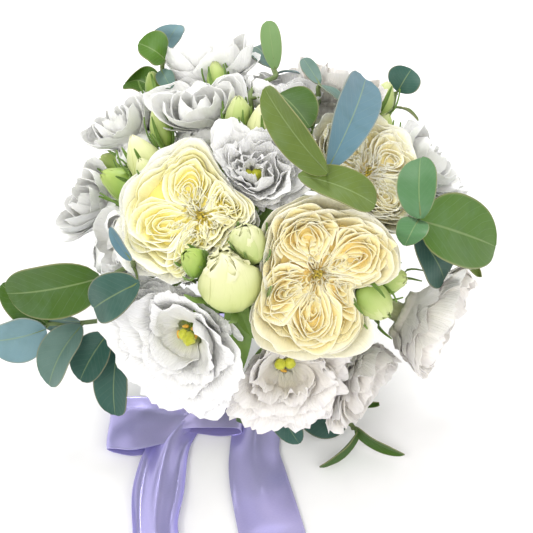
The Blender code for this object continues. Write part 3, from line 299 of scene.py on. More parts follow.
# Leaves below a bud: the way they point in the photograph's view in degrees, length and width
FOLIAGE = {
    "bud_1": [(-58, 36, 15), (-84, 42, 15), (205, 26, 12)],
    "bud_2": [(68, 32, 13), (20, 26, 11)],
    "bud_4": [(-100, 24, 11), (20, 22, 10)],
    "bud_5": [(60, 24, 10)],
    "bud_6": [(30, 22, 10)],
    "bud_7": [(150, 22, 10), (250, 22, 10)],
    "bud_9": [(200, 20, 9)],
    "bud_11": [(-30, 26, 11), (200, 26, 11)],
}
# Colours of the eucalyptus
STALK_TINT = (0.16, 0.22, 0.07)
DARK, GREEN, LEAFY = (0.042, 0.11, 0.0), (0.07, 0.165, 0.01), (0.085, 0.205, 0.08)
BLUE, TEAL, OLIVE = (0.10, 0.20, 0.25), (0.035, 0.105, 0.08), (0.12, 0.18, 0.03)
GREY, PALE, FRESH = (0.11, 0.195, 0.165), (0.18, 0.31, 0.35), (0.21, 0.35, 0.13)
LEAF_TINTS = {
    "left_upper": [DARK],
    "left_lower": [PALE, DARK, GREY, GREY, TEAL, TEAL],
    "left_slip": [BLUE, TEAL],
    "top_left": [GREEN, PALE, GREY, DARK],
    "top_middle": [FRESH, BLUE, TEAL, DARK],
    "top_right": [GREY, GREY],
    "middle": [BLUE, OLIVE, OLIVE],
    "right": [GREEN, LEAFY, LEAFY, TEAL, OLIVE],
    "right_top": [TEAL, OLIVE],
    "bottom_middle": [TEAL, DARK],
    "bottom_right": [TEAL, DARK, DARK, DARK],
}

# Camera, and lights with their place, size, power and colour
CAMERA_AWAY = 1.6
SENSOR_WIDE = 36.0
VIEW_WIDE = 309.0
VIEW_SHIFT = (0.9, -16.5)
WORLD_LIGHT = 1.08
LIGHTS = [
    ("key_light", (-0.9, -1.3, 1.8), 0.8, 12.5, (1.0, 0.985, 0.96)),
    ("front_light", (0.3, -1.9, 1.7), 1.6, 7.0, (1.0, 0.99, 0.98)),
    ("fill_light", (1.4, -0.8, 1.1), 1.6, 4.0, (0.97, 0.98, 1.0)),
    ("back_light", (-0.25, 1.35, 1.7), 0.5, 26.0, (1.0, 1.0, 1.0)),
]


def unit(v):
    v = np.asarray(v, float)
    return v / np.maximum(np.linalg.norm(v, axis=-1, keepdims=True), 1e-9)


def grid_of(rows, cols, start=-1):
    """Shares along and across a sheet: a column from 0 to 1 and a row from start to 1."""
    return np.linspace(0, 1, rows)[:, None], np.linspace(start, 1, cols)[None, :]


def from_polar(radius, angle, height):
    """Points from their distance to the axis, their angle round it and their height."""
    return np.stack(np.broadcast_arrays(radius * np.cos(angle), radius * np.sin(angle), height), -1)


def swung(u, w, angle):
    """Two coordinates turned by an angle."""
    return u * math.cos(angle) - w * math.sin(angle), u * math.sin(angle) + w * math.cos(angle)


def normals(grid):
    """Directions at a right angle to a sheet, at each of its points."""
    return unit(np.cross(np.gradient(grid, axis=0), np.gradient(grid, axis=1)))


def as_dots(points, radius):
    """Points with a radius, for others to keep clear of."""
    flat = points.reshape(-1, 3)
    return np.column_stack([flat, np.full(len(flat), radius)])


def ring_of(cosine):
    """Ring of directions for a cosine with the axis: 0 along it, the last one against it."""
    return np.arccos(np.clip(cosine, -1, 1)) / math.pi * (ROOM_RINGS - 1)


def evened(rings):
    """Distances on rings of directions, each evened out with those beside it on its ring."""
    return (rings + 0.5 * (np.roll(rings, 1, 1) + np.roll(rings, -1, 1))) / 2


def on_head(x, v, lift=0.0):
    """The point of the head's surface that the chart shows at x, v, lifted towards the viewer."""
    flat = x * RIGHT + v * UP
    a, b = HEAD_AXES @ FACE / HEAD_HALF, HEAD_AXES @ flat / HEAD_HALF
    root = max((a @ b) ** 2 - (a @ a) * (b @ b - 1), 0.0)
    return MIDDLE + flat + FACE * ((math.sqrt(root) - a @ b) / (a @ a) + lift)


def outward(point):
    """Direction straight out of the head at a point."""
    return unit(HEAD_AXES.T @ (HEAD_AXES @ (point - MIDDLE) / HEAD_HALF**2))


class Flower:
    """A flower or bud: where it sits, which way it looks and how much room it has."""

    def __init__(self, name, x, v, lift, radius, depth, lean_right, lean_up):
        kind, number = name.split("_")
        self.name, self.kind, self.seed = name, kind, int(number)
        self.radius, self.depth, self.claim = radius, depth, radius * CLAIMS[kind]
        top = on_head(x, v, lift)
        self.axis = unit(outward(top) + lean_right * RIGHT + lean_up * UP)
        self.base = top - depth * self.axis
        self.across = unit(RIGHT - (RIGHT @ self.axis) * self.axis)
        self.upward = np.cross(self.axis, self.across)
        self.star = self.base + STAR * depth * self.axis
        self.reach = self.measure_reach(plain_points(self))
        self.room = None

    def place(self, local):
        """Points from the flower's own frame, whose z is its axis, into the bouquet."""
        local = np.asarray(local, float)
        return self.base + local @ np.array([self.across, self.upward, self.axis])

    def scaled(self, shares):
        """Pairs of distance from the axis and height, from shares of the radius and the depth."""
        return [(out * self.radius, up * self.depth) for out, up in shares]

    def measure_reach(self, local):
        """How far points of its own frame go from the star point, on rings of directions about the axis."""
        away = local - [0, 0, STAR * self.depth]
        far = np.linalg.norm(away, axis=1)
        ring = ring_of(away[:, 2] / far)
        reach = np.full(ROOM_RINGS + 2, LEAST_ROOM)
        for side in (np.floor(ring), np.ceil(ring)):
            np.maximum.at(reach, side.astype(int) + 1, far)
        return np.maximum(reach[1:-1], 0.5 * (reach[:-2] + reach[2:]))

    def spoke_of(self, way):
        """Spoke of directions round the axis."""
        return np.arctan2(way @ self.upward, way @ self.across) / (2 * math.pi) * ROOM_SPOKES

    def read(self, rings, way):
        """Distances held on rings and spokes of directions, read along any directions."""
        ring, spoke = ring_of(way @ self.axis), self.spoke_of(way) % ROOM_SPOKES
        i, j = np.minimum(ring.astype(int), ROOM_RINGS - 2), spoke.astype(int) % ROOM_SPOKES
        s, t, k = ring - i, spoke - np.floor(spoke), (j + 1) % ROOM_SPOKES
        near = (1 - t) * rings[i, j] + t * rings[i, k]
        return (1 - s) * near + s * ((1 - t) * rings[i + 1, j] + t * rings[i + 1, k])

    def towards(self, way):
        """Reach of the whole shape, and the free room, along directions from the star point."""
        full = np.interp(ring_of(way @ self.axis), np.arange(ROOM_RINGS), self.reach)
        return full, full if self.room is None else self.read(self.room, way)

    def distance(self, points):
        """Distance of points from the line between the flower's base and its top."""
        along = np.clip((points - self.base) @ self.axis, 0, self.depth)
        return np.linalg.norm(points - self.base - along[..., None] * self.axis, axis=-1)


def measure_room(flower, others, dots, careful=True):
    """Free distance round the star point, on rings and spokes of directions about the axis.

    The plain flowers take it carefully. The fine ones fill it up to a share of their own reach.
    """
    polar = np.linspace(0, math.pi, ROOM_RINGS)[:, None]
    turn = np.linspace(0, 2 * math.pi, ROOM_SPOKES, endpoint=False)[None, :]
    ways = from_polar(np.sin(polar), turn, np.cos(polar))
    ways = ways @ np.array([flower.across, flower.upward, flower.axis])
    steps = np.arange(2.0, ROOM_REACH, 1.0)
    points = flower.star + ways[:, :, None, :] * steps[:, None]
    own = flower.distance(points) - flower.claim
    stopped = points[..., 2] < FLOOR
    for other in others:
        if np.linalg.norm(other.star - flower.star) < 2 * ROOM_REACH:
            stopped |= own + 2 * GAP > other.distance(points) - other.claim
    first = np.where(stopped.any(2), stopped.argmax(2), len(steps)) + 1.0
    near = dots[np.linalg.norm(dots[:, :3] - flower.star, axis=1) < ROOM_REACH]
    centre, radius = near[:, :3] - flower.star, near[:, 3] + STEM_CLEAR
    along = ways @ centre.T
    depth = radius**2 - (centre**2).sum(1) + along**2
    ahead = (along > 0) & (depth > 0)
    met = np.where(ahead, along - np.sqrt(np.where(ahead, depth, 0)), ROOM_REACH).min(2)
    free = np.maximum(np.minimum(first, met), LEAST_ROOM)
    free[0], free[-1] = free[0].min(), free[-1].min()
    if careful:
        free = np.min([np.roll(free, k, 1) for k in (-2, -1, 0, 1, 2)], axis=0)
        free[1:-1] = np.minimum(free[1:-1], 0.5 * (free[1:-1] + np.minimum(free[:-2], free[2:])))
    else:
        towards, share = TRIMS.get(flower.name, (0, 0))
        facing = np.maximum(np.cos(turn - math.radians(towards)), 0) ** 1.5 * np.sin(polar)
        free = np.minimum(free, flower.reach[:, None] * (FILL[flower.kind] - share * facing))
        for _ in range(2):
            beside = sum(np.roll(free, k, 1) for k in (-2, -1, 1, 2)) / 4
            beside[1:-1] = (beside[1:-1] + free[:-2] + free[2:]) / 3
            free = np.minimum(free, SPIKE * beside)
    room = evened(free)
    room[-2:] = np.maximum(room[-2:], 1.1 * STAR * flower.depth)  # its foot stays on its stem
    flower.room = room


def bezier(controls, s):
    """Cubic curve through the first and last of four (radius, height) controls."""
    c = np.asarray(controls, float)
    s = s[..., None]
    return (1 - s) ** 3 * c[0] + 3 * s * (1 - s) ** 2 * c[1] + 3 * s**2 * (1 - s) * c[2] + s**3 * c[3]


def profile_of(controls, s):
    """Distance from the axis and height along a petal, and the direction in which they go on."""
    step = 0.02
    ahead = np.clip(s + step, step, 1.0)
    return bezier(controls, s), unit(bezier(controls, ahead) - bezier(controls, ahead - step))


def lifted(profile, slope, angle, lift):
    """Points of a petal, moved off its profile at a right angle to it."""
    radius = np.maximum(profile[..., 0] - slope[..., 1] * lift, 0.8)
    return from_polar(radius, angle, profile[..., 1] + slope[..., 0] * lift)


def petal_grid(controls, azimuth, petals, most, rows, cols, frill, spiral):
    """Mid-surface of one petal of a whorl: narrow where it starts, overlapping its neighbours further out.

    The frill repeats from petal to petal, so that the petals of one whorl wave together and never cross.
    """
    a, b = grid_of(rows, cols)
    s = a * (1 - 0.2 * np.abs(b) ** 2.5)
    profile, slope = profile_of(controls, s)
    grow = 0.96 + 1.2 * np.maximum(s - 0.81 / (rows - 1), 0)
    width = np.minimum(profile[..., 0] * math.pi / petals * grow, most)
    angle = azimuth + b * width / profile[..., 0]
    lift = frill * s**2 * np.cos(petals * (angle - azimuth)) + spiral * b * s
    return lifted(profile, slope, angle, lift)


def fold_grid(middle, half, facing, low, top, count):
    """Standing fold of petals round a quarter of a rose, open towards the rose's middle."""
    level = np.array([[0.0], [0.55], [1.0]])
    angle = np.linspace(-1, 1, count)[None, :] * math.pi * (0.32 + 0.38 * level)
    shrink = 0.6 + 0.4 * level
    u = middle * (0.3 + 0.7 * level) + half[0] * shrink * np.cos(angle)
    w = half[1] * shrink * np.sin(angle)
    x, y = swung(u, w, facing)
    height = low + (top * (0.84 + 0.16 * np.hypot(x, y) / (middle + half[0])) - low) * level
    return np.stack([x, y, height], -1)


# Plain solids' points, which set how far each flower reaches and so where everything lies

# Whorls of petals, outermost first. Each has its count, its profile and widest half width in shares of
# the flower's radius and depth, rows, columns, frill and spiral.
PLAIN_WHORLS = {
    "rose": [
        (5, [(0.80, -0.05), (0.80, 0.72), (1.03, 0.92)], 0.62, 4, 4, 0.5, 2.6),
        (5, [(0.70, 0.1), (0.64, 0.8), (0.84, 1.02)], 0.50, 3, 4, 0.3, 1.6),
    ],
    "open": [
        (5, [(0.32, 0.35), (0.46, 1.0), (1.04, 0.86)], 0.62, 4, 4, 2.0, 2.4),
        (4, [(0.24, 0.5), (0.30, 1.05), (0.74, 1.04)], 0.46, 3, 4, 1.2, 2.0),
        (3, [(0.16, 0.5), (0.18, 0.9), (0.38, 1.14)], 0.26, 3, 3, 0.2, 1.2),
    ],
    "cup": [
        (4, [(1.05, 0.02), (0.86, 0.62), (1.04, 1.0)], 0.84, 3, 4, 0.8, 2.0),
        (3, [(0.72, 0.12), (0.60, 0.7), (0.58, 1.06)], 0.52, 3, 3, 0.2, 1.6),
    ],
}


def whorl_points(grids, azimuths, root, low):
    """Points of one whorl of the plain model: its disc, and both faces of its petals."""
    corners = np.asarray(azimuths) - math.pi / len(grids)
    ring = from_polar(root, corners, 0.0)
    high = low + DISC
    points = [ring + [0, 0, high], ring + [0, 0, low], np.array([[0, 0, high], [0, 0, low]], float)]
    for grid in grids:
        normal = normals(grid)[1:] * PETAL_THICK / 2
        points += [(grid[1:] + normal).reshape(-1, 3), (grid[1:] - normal).reshape(-1, 3)]
    return np.concatenate(points)


def turned_points(profile, sides):
    """Points of a shape turned about z from (radius, height) pairs, whose ends lie on the axis."""
    turn = np.arange(sides) * 2 * math.pi / sides
    points = [np.array([[0, 0, profile[0][1]], [0, 0, profile[-1][1]]], float)]
    for radius, height in profile[1:-1]:
        points.append(from_polar(radius, turn, height))
    return np.concatenate(points)


def spindle_points(discs):
    """Points of the hidden spindle that a flower's discs stand on."""
    low, high = SEAT + DISC / 2, SEAT + DISC / 2 + DISC_PITCH * (discs - 1)
    return turned_points([(0, low), (2.0, low), (2.0, high), (0, high)], 3)


def whorls_points(flower, start, root):
    """Points of each of a flower's whorls, whose petals start from the axis at root."""
    points = []
    for w, (count, shares, most, *rest) in enumerate(PLAIN_WHORLS[flower.kind]):
        low = SEAT + DISC_PITCH * w
        azimuths = [(p + 0.5 * w) * 2 * math.pi / count + start for p in range(count)]
        controls = [(root, low + DISC / 2), *flower.scaled(shares)]
        grids = [petal_grid(controls, azimuth, count, most * flower.radius, *rest) for azimuth in azimuths]
        points.append(whorl_points(grids, azimuths, root, low))
    return points


def plain_points(flower):
    """Points of a flower or bud of the plain model, in its own frame."""
    r, h, seed = flower.radius, flower.depth, float(flower.seed)
    if flower.kind == "rose":
        points = [spindle_points(4), *whorls_points(flower, seed + 0.3, 6)]
        quarters = [q * math.pi / 2 + seed for q in range(4)]
        for k, scale in enumerate((1.0, 0.5)):
            low = SEAT + DISC_PITCH * (2 + k)
            half = (0.25 * r * scale, 0.22 * r * scale)
            grids = [fold_grid(0.36 * r, half, q, low + DISC / 2, 0.98 * h, 5) for q in quarters]
            points.append(whorl_points(grids, quarters, 5, low))
    elif flower.kind == "open":
        points = [spindle_points(3), *whorls_points(flower, 1.1 + seed, 4.5)]
    elif flower.kind == "cup":
        low = SEAT + DISC / 2
        heart = [(0, low), (2.4, low), (0.34 * r, 0.4 * h), (0.26 * r, 0.74 * h), (0, 0.9 * h)]
        points = [turned_points(heart, 4), *whorls_points(flower, seed, 4)]
    else:
        sides = 8 if r > 12 else 6
        turn = np.arange(sides) * 2 * math.pi / sides + seed
        tips = np.where(np.arange(sides) % 2 == 0, 1, 0)
        points = [np.array([[0, 0, -1.8], [0, 0, h]])]
        for radius, height, out, rise in (
            (1.9, -1.5, 0, 0), (2.4, 0.0, 0.62 * r + 1.6, 0.04 * h),
            (0.7 * r, 0.12 * h, 0, 0), (0.98 * r, 0.36 * h, 0, 0), (0.7 * r, 0.7 * h, 0, 0),
        ):
            points.append(from_polar(radius + out * tips, turn, height + rise * tips))
    return np.concatenate(points)


class Branch:
    """A stem or part of one: its path, thickness, plant, the flower that it carries and its held ends."""

    def __init__(self, path, radius, plant, flower=None, held_last=2):
        self.path, self.radius, self.plant, self.flower = path, radius, plant, flower
        self.held = np.zeros(len(path), bool)
        self.held[:2] = True
        self.held[len(path) - held_last:] = True

    def dots(self):
        """Points along it, with its radius, for others to keep clear of."""
        found = beads(self.path, self.radius)
        if self.flower:
            cup = [self.flower.base - back * self.flower.axis for back in (0.5, 3.0)]
            found = np.concatenate([found, np.column_stack([cup, [3.2, 2.8]])])
        return found


def bundle_slots(count):
    """Places of the stems in a tight round bundle, nearest the middle first."""
    spots = []
    for i in range(-5, 6):
        for j in range(-5, 6):
            spots.append((STEM_PITCH * (i + 0.5 * j), STEM_PITCH * math.sqrt(0.75) * j))
    spots.sort(key=lambda s: (round(math.hypot(*s), 3), round(math.atan2(s[1], s[0]), 3)))
    return np.array(spots[:count])


def at_station(slot, back):
    """Where a stem in this slot is, that far behind the middle of the head."""
    along = (back - BIND_BACK) / (END_BACK - BIND_BACK)
    grow = 1 + (FLARE - 1) * max(along, 0)
    turn = SPIRAL * along
    x, y = swung(*slot, turn)
    return MIDDLE - back * AXIS + grow * x * RIGHT + grow * y * SIDE


def curve(start, start_way, end, end_way, count):
    """Smooth path between two points with given directions."""
    reach = np.linalg.norm(end - start)
    t = np.linspace(0, 1, count)[:, None]
    h00, h10 = 2 * t**3 - 3 * t**2 + 1, t**3 - 2 * t**2 + t
    h01, h11 = -2 * t**3 + 3 * t**2, t**3 - t**2
    return h00 * start + h10 * reach * start_way + h01 * end + h11 * reach * end_way


def through(controls, count):
    """Smooth path through rows of numbers."""
    c = np.asarray(controls, float)
    c = np.concatenate([[2 * c[0] - c[1]], c, [2 * c[-1] - c[-2]]])
    t = np.linspace(0, len(c) - 3, count)
    i = np.minimum(t.astype(int), len(c) - 4)
    s = (t - i)[:, None]
    a, b, d, e = c[i], c[i + 1], c[i + 2], c[i + 3]
    return b + 0.5 * s * (d - a + s * (2 * a - 5 * b + 4 * d - e + s * (3 * (b - d) + e - a)))


def choose_slots(targets):
    """Gives each stem the bundle slot that lies nearest its way out, so that stems don't cross."""
    slots = bundle_slots(len(targets))
    flat = np.array([[(t - MIDDLE) @ RIGHT, (t - MIDDLE) @ SIDE] for t in targets])
    wish = flat * (np.abs(slots).max() / np.abs(flat).max())
    free, chosen = set(range(len(slots))), {}
    for i in np.argsort(-np.hypot(*flat.T)):
        best = min(free, key=lambda s: float(np.sum((slots[s] - wish[i]) ** 2)))
        free.remove(best)
        chosen[int(i)] = slots[best]
    return [chosen[i] for i in range(len(targets))]


def spread(branches, flowers):
    """Moves stems apart, and out of the flowers, until none touches another plant's."""
    points = np.concatenate([b.path for b in branches])
    away_from_tie = np.linalg.norm(points - (MIDDLE - BIND_BACK * AXIS), axis=1)
    clear = np.minimum(STEM_CLEAR, 0.5 + 0.09 * away_from_tie)
    radius = np.concatenate([np.full(len(b.path), b.radius) for b in branches])
    plant = np.concatenate([np.full(len(b.path), b.plant) for b in branches])
    held = np.concatenate([b.held for b in branches])
    ends = np.cumsum([len(b.path) for b in branches])
    spans = [slice(e - len(b.path), e) for b, e in zip(branches, ends)]
    foreign = plant[:, None] != plant[None, :]
    reach = radius[:, None] + radius[None, :] + np.minimum(clear[:, None], clear[None, :])
    for _ in range(SPREAD_ROUNDS):
        gap = points[:, None] - points[None, :]
        far = np.sqrt((gap**2).sum(-1)) + 1e-6
        short = np.where(foreign, np.maximum(reach - far, 0), 0)
        move = (gap / far[..., None] * short[..., None] * 0.35).sum(1)
        for flower in flowers:
            away = points - flower.star
            dist = np.linalg.norm(away, axis=1) + 1e-6
            depth = np.maximum(flower.towards(away / dist[:, None])[0] - dist, 0)
            for branch, span in zip(branches, spans):
                if branch.flower is flower:
                    depth[span] = 0
            sideways = away - (away @ flower.axis)[:, None] * flower.axis
            move += unit(sideways - 0.6 * flower.axis) * depth[:, None] * 0.25
        points = points + np.where(held[:, None], 0, np.clip(move, -1.5, 1.5))
        points[:, 2] = np.maximum(points[:, 2], FLOOR + radius)
        for span in spans:
            part = points[span].copy()
            part[1:-1] = 0.7 * part[1:-1] + 0.15 * (part[:-2] + part[2:])
            points[span] = np.where(held[span, None], points[span], part)
    for branch, span in zip(branches, spans):
        branch.path = points[span]


def grow_plants(flowers):
    """Branches of each rose, lisianthus spray and eucalyptus sprig, from the binding outwards."""
    plants = [(name, (name,)) for name in FLOWERS if name.startswith("rose")]
    plants += [(f"spray_{i}", names) for i, names in enumerate(SPRAYS, 1)]
    targets = [np.mean([flowers[n].base for n in names], axis=0) for _, names in plants]
    for name, (stem, _) in SPRIGS.items():
        plants.append((name, None))
        targets.append(on_head(*stem[0]))
    branches = []
    slots = choose_slots(targets)
    for plant, ((name, names), slot, target) in enumerate(zip(plants, slots, targets)):
        start = at_station(slot, BIND_BACK)
        way = unit(start - at_station(slot, BIND_BACK + 5))
        if names is None:
            stem = [on_head(*spot) for spot in SPRIGS[name][0]]
            first = curve(start, way, stem[0], unit(stem[1] - stem[0]), 18)
            rest = through(stem, 6 * len(stem) - 5)[1:]
            branches.append(Branch(np.concatenate([first, rest]), LEAF_STEM_RADIUS, plant))
            continue
        if len(names) > 1:
            fork = start + FORK * (target - start)
            path = curve(start, way, fork, unit(target - start), 10)
            branches.append(Branch(path, STEM_RADIUS, plant, held_last=1))
            start, way = fork, unit(fork - start)
        count = 20 if len(names) == 1 else 15
        for member in names:
            flower = flowers[member]
            radius, end = (BUD_STEM_RADIUS, 1.5) if flower.kind == "bud" else (STEM_RADIUS, -2)
            path = curve(start, way, flower.base - 4 * flower.axis, flower.axis, count)
            path = np.concatenate([path, [flower.base + end * flower.axis]])
            branches.append(Branch(path, radius, plant, flower, held_last=3))
    spread(branches, list(flowers.values()))
    return plants, slots, branches


def beads(path, radius, step=2.0):
    """Points close together along a path, with its radius, for others to keep clear of."""
    length = np.concatenate([[0], np.cumsum(np.linalg.norm(np.diff(path, axis=0), axis=1))])
    t = np.linspace(0, length[-1], max(int(length[-1] / step), 1) + 1)
    return as_dots(np.stack([np.interp(t, length, path[:, i]) for i in range(3)], 1), radius)


def leaf_grid(base, tip, width, roll, arch, widest, rows, cols):
    """Mid-surface of a leaf between its base and tip, folded a little along its rib."""
    a = np.linspace(0, 1, rows)[:, None, None]
    b = np.linspace(-1, 1, cols)[None, :, None]
    along = tip - base
    up = outward((base + tip) / 2) * 0.6 + FACE * 0.4
    up = unit(up - (up @ unit(along)) * unit(along))
    side = np.cross(unit(along), up)
    turn = math.radians(roll)
    side, up = side * math.cos(turn) + up * math.sin(turn), up * math.cos(turn) - side * math.sin(turn)
    p, q = widest, 1 - widest
    between = np.clip(a, 0.004, 0.996)
    shape = between**p * (1 - between) ** q / (p**p * q**q)
    half = np.maximum(0.5 * width * shape**0.95, 0.5)
    fold = 0.14 * width * np.abs(b) ** 1.5 * shape
    return base + a * along + b * half * side + (4 * arch * a * (1 - a) + fold) * up


def finer(grid, times):
    """A grid of points with straight steps between its rows and columns."""
    for axis in (0, 1):
        count = grid.shape[axis]
        t = np.linspace(0, count - 1, times * (count - 1) + 1)
        i = np.minimum(t.astype(int), count - 2)
        s = (t - i).reshape((-1, 1, 1) if axis == 0 else (1, -1, 1))
        grid = (1 - s) * np.take(grid, i, axis) + s * np.take(grid, i + 1, axis)
    return grid


def blocked(points, flowers, dots, clear):
    """Whether points lie in the part of a flower's shape that its room holds, or near one of the dots."""
    inside = np.zeros(points.shape[:-1], bool)
    for flower in flowers:
        away = points - flower.star
        far = np.maximum(np.linalg.norm(away, axis=-1), 1e-6)
        near = far < flower.reach.max() + clear
        if near.any():
            full, free = flower.towards(away / far[..., None])
            inside |= far < np.minimum(full, free) + clear
    if len(dots):
        flat = points.reshape(-1, 3)
        far = np.linalg.norm(flat[:, None] - dots[None, :, :3], axis=-1)
        inside |= (far < dots[:, 3] + clear - 0.4).any(1).reshape(inside.shape)
    return inside


def settle(grid, flowers, dots, way):
    """Moves a leaf's points along way until it is clear of the flowers, stems and earlier leaves."""
    times = 4
    move = np.zeros(grid.shape[:2])
    for _ in range(SETTLE_ROUNDS):
        grid_now = grid + move[..., None] * way
        grid_now[..., 2] = np.maximum(grid_now[..., 2], LEAF_THICK / 2 + 0.05)
        inside = blocked(finer(grid_now, times), flowers, dots, LEAF_CLEAR)
        if not inside.any():
            break
        wide = np.pad(inside, times)
        hit = np.zeros(grid.shape[:2], bool)
        for i in range(grid.shape[0]):
            for j in range(grid.shape[1]):
                hit[i, j] = wide[i * times:(i + 2) * times + 1, j * times:(j + 2) * times + 1].any()
        move = move + np.where(hit, SETTLE_STEP, 0)
        soft = move.copy()
        soft[1:-1] = np.maximum(soft[1:-1], 0.5 * (move[:-2] + move[2:]) - 2)
        move = np.maximum(soft, soft.max(axis=1, keepdims=True) - 3)
    return grid_now


# Ends of the ribbon: x, y, z, half width and how much its edges curl up
LEFT_STRAND = [
    (-2, 82, 34.5, 4, 0), (-12, 50, 14, 9, 0), (-20, 28, 1.6, 15, 0), (-32, -6, 0.4, 18, 0),
    (-43, -38, 0.4, 15, 0), (-47, -56, 0.4, 10, 0), (-57, -76, 0.4, 12.5, 2), (-62, -108, 0.4, 15, 4),
    (-63, -138, 0.4, 13, 5), (-57, -172, 0.4, 16, 3), (-51, -205, 0.4, 19, 0.5),
]
RIGHT_STRAND = [
    (5, 80, 28.6, 4, 0), (14, 46, 11, 9, 0), (17, 26, 1.4, 14, 0), (12, -10, 0.4, 16, 0),
    (-1, -42, 0.4, 15, 0), (-6, -74, 0.4, 14.5, 1), (-4, -98, 0.4, 17, 2), (4, -136, 0.4, 19, 1),
    (12, -172, 0.4, 19, 0), (20, -207, 0.4, 19, 0),
]
# Loops of the bow: x, y, z and half width, from the pinch over the top and back below
LEFT_LOOP = [
    (-44, -55, 4.6, 9), (-58, -60, 8, 15), (-75, -63, 10, 19), (-88, -62, 8.6, 18.5), (-92.5, -61, 5.4, 18),
    (-88, -61, 2.2, 18.5), (-75, -62, 1.6, 19), (-58, -59, 1.6, 15), (-44, -55, 2.2, 9),
]
RIGHT_LOOP = [
    (-51, -55, 4.6, 9), (-38, -52, 8, 14), (-25, -50, 9.4, 17), (-16.5, -49, 7.8, 17.5),
    (-13.5, -49, 5.2, 17.5), (-16.5, -49, 2.8, 17.5), (-27, -50, 1.8, 17), (-40, -52, 1.6, 13),
    (-51, -55, 2.2, 9),
]


def sideways(line):
    """Level direction across a strand at each of its points."""
    along = np.gradient(line[:, :3], axis=0)
    return unit(np.stack([-along[:, 1], along[:, 0], 0 * along[:, 0]], 1))


def strand_grid(controls, count, cols):
    """Mid-surface of a strand of ribbon that lies along a path, its edges curled up a little."""
    line = through(controls, count)
    line[:, 2:] = np.maximum(line[:, 2:], [RIBBON_THICK / 2, 1, 0])
    b = np.linspace(-1, 1, cols)[None, :, None]
    grid = line[:, None, :3] + b * (line[:, 3, None] * sideways(line))[:, None]
    grid[..., 2] += line[:, 4, None] * b[..., 0] ** 2
    return grid


def loop_grid(controls, count, cols):
    """Mid-surface of a flattened loop of the bow."""
    line = through(controls, count)
    b = np.linspace(-1, 1, cols)[None, :, None]
    return line[:, None, :3] + b * line[:, None, 3, None] * np.array([0.0, 1.0, 0.0])


def bundle_radius(back):
    """Radius of the bundle of stems, that far behind the middle of the head."""
    grow = 1 + (FLARE - 1) * max(back - BIND_BACK, 0) / (END_BACK - BIND_BACK)
    return grow * np.linalg.norm(bundle_slots(STEM_COUNT)[-1]) + STEM_RADIUS


def lay_out():
    """Flowers, plants, slots and branches, with each flower's room measured."""
    flowers = {name: Flower(name, *spec) for name, spec in {**FLOWERS, **BUDS}.items()}
    plants, slots, branches = grow_plants(flowers)
    ribbon = [strand_grid(strand, 60, 5) for strand in (LEFT_STRAND, RIGHT_STRAND)]
    ribbon += [loop_grid(loop, 24, 9) for loop in (LEFT_LOOP, RIGHT_LOOP)]
    cloth = np.concatenate([as_dots(grid, CLOTH_ROOM) for grid in ribbon])
    for flower in flowers.values():
        others = [f for f in flowers.values() if f is not flower]
        dots = [b.dots() for b in branches if b.flower is not flower]
        measure_room(flower, others, np.concatenate([cloth, *dots]))
    return flowers, plants, slots, branches, cloth


def stalked(grid, stem, flowers, dots):
    """A leaf's mid-surface with its stalk added, down to the nearest point of the stem with a clear way."""
    base = grid[0, 1]
    order = np.argsort(np.linalg.norm(stem[:-1] - base, axis=1))
    foot = stem[order[0]]
    for i in order[:14]:
        way = beads(np.array([base, stem[i]]), 0)[:, :3]
        if not blocked(way, flowers, dots, 1.0).any():
            foot = stem[i]
            break
    side = unit(grid[1, 2] - grid[1, 0])
    b = np.array([-1.0, 0.0, 1.0])[:, None]
    return np.concatenate([[foot + b * STALK_HALF * side, base + b * STALK_HALF * side], grid[1:]])


# Fine shapes: grids of points, and the numbers that the materials read at each point


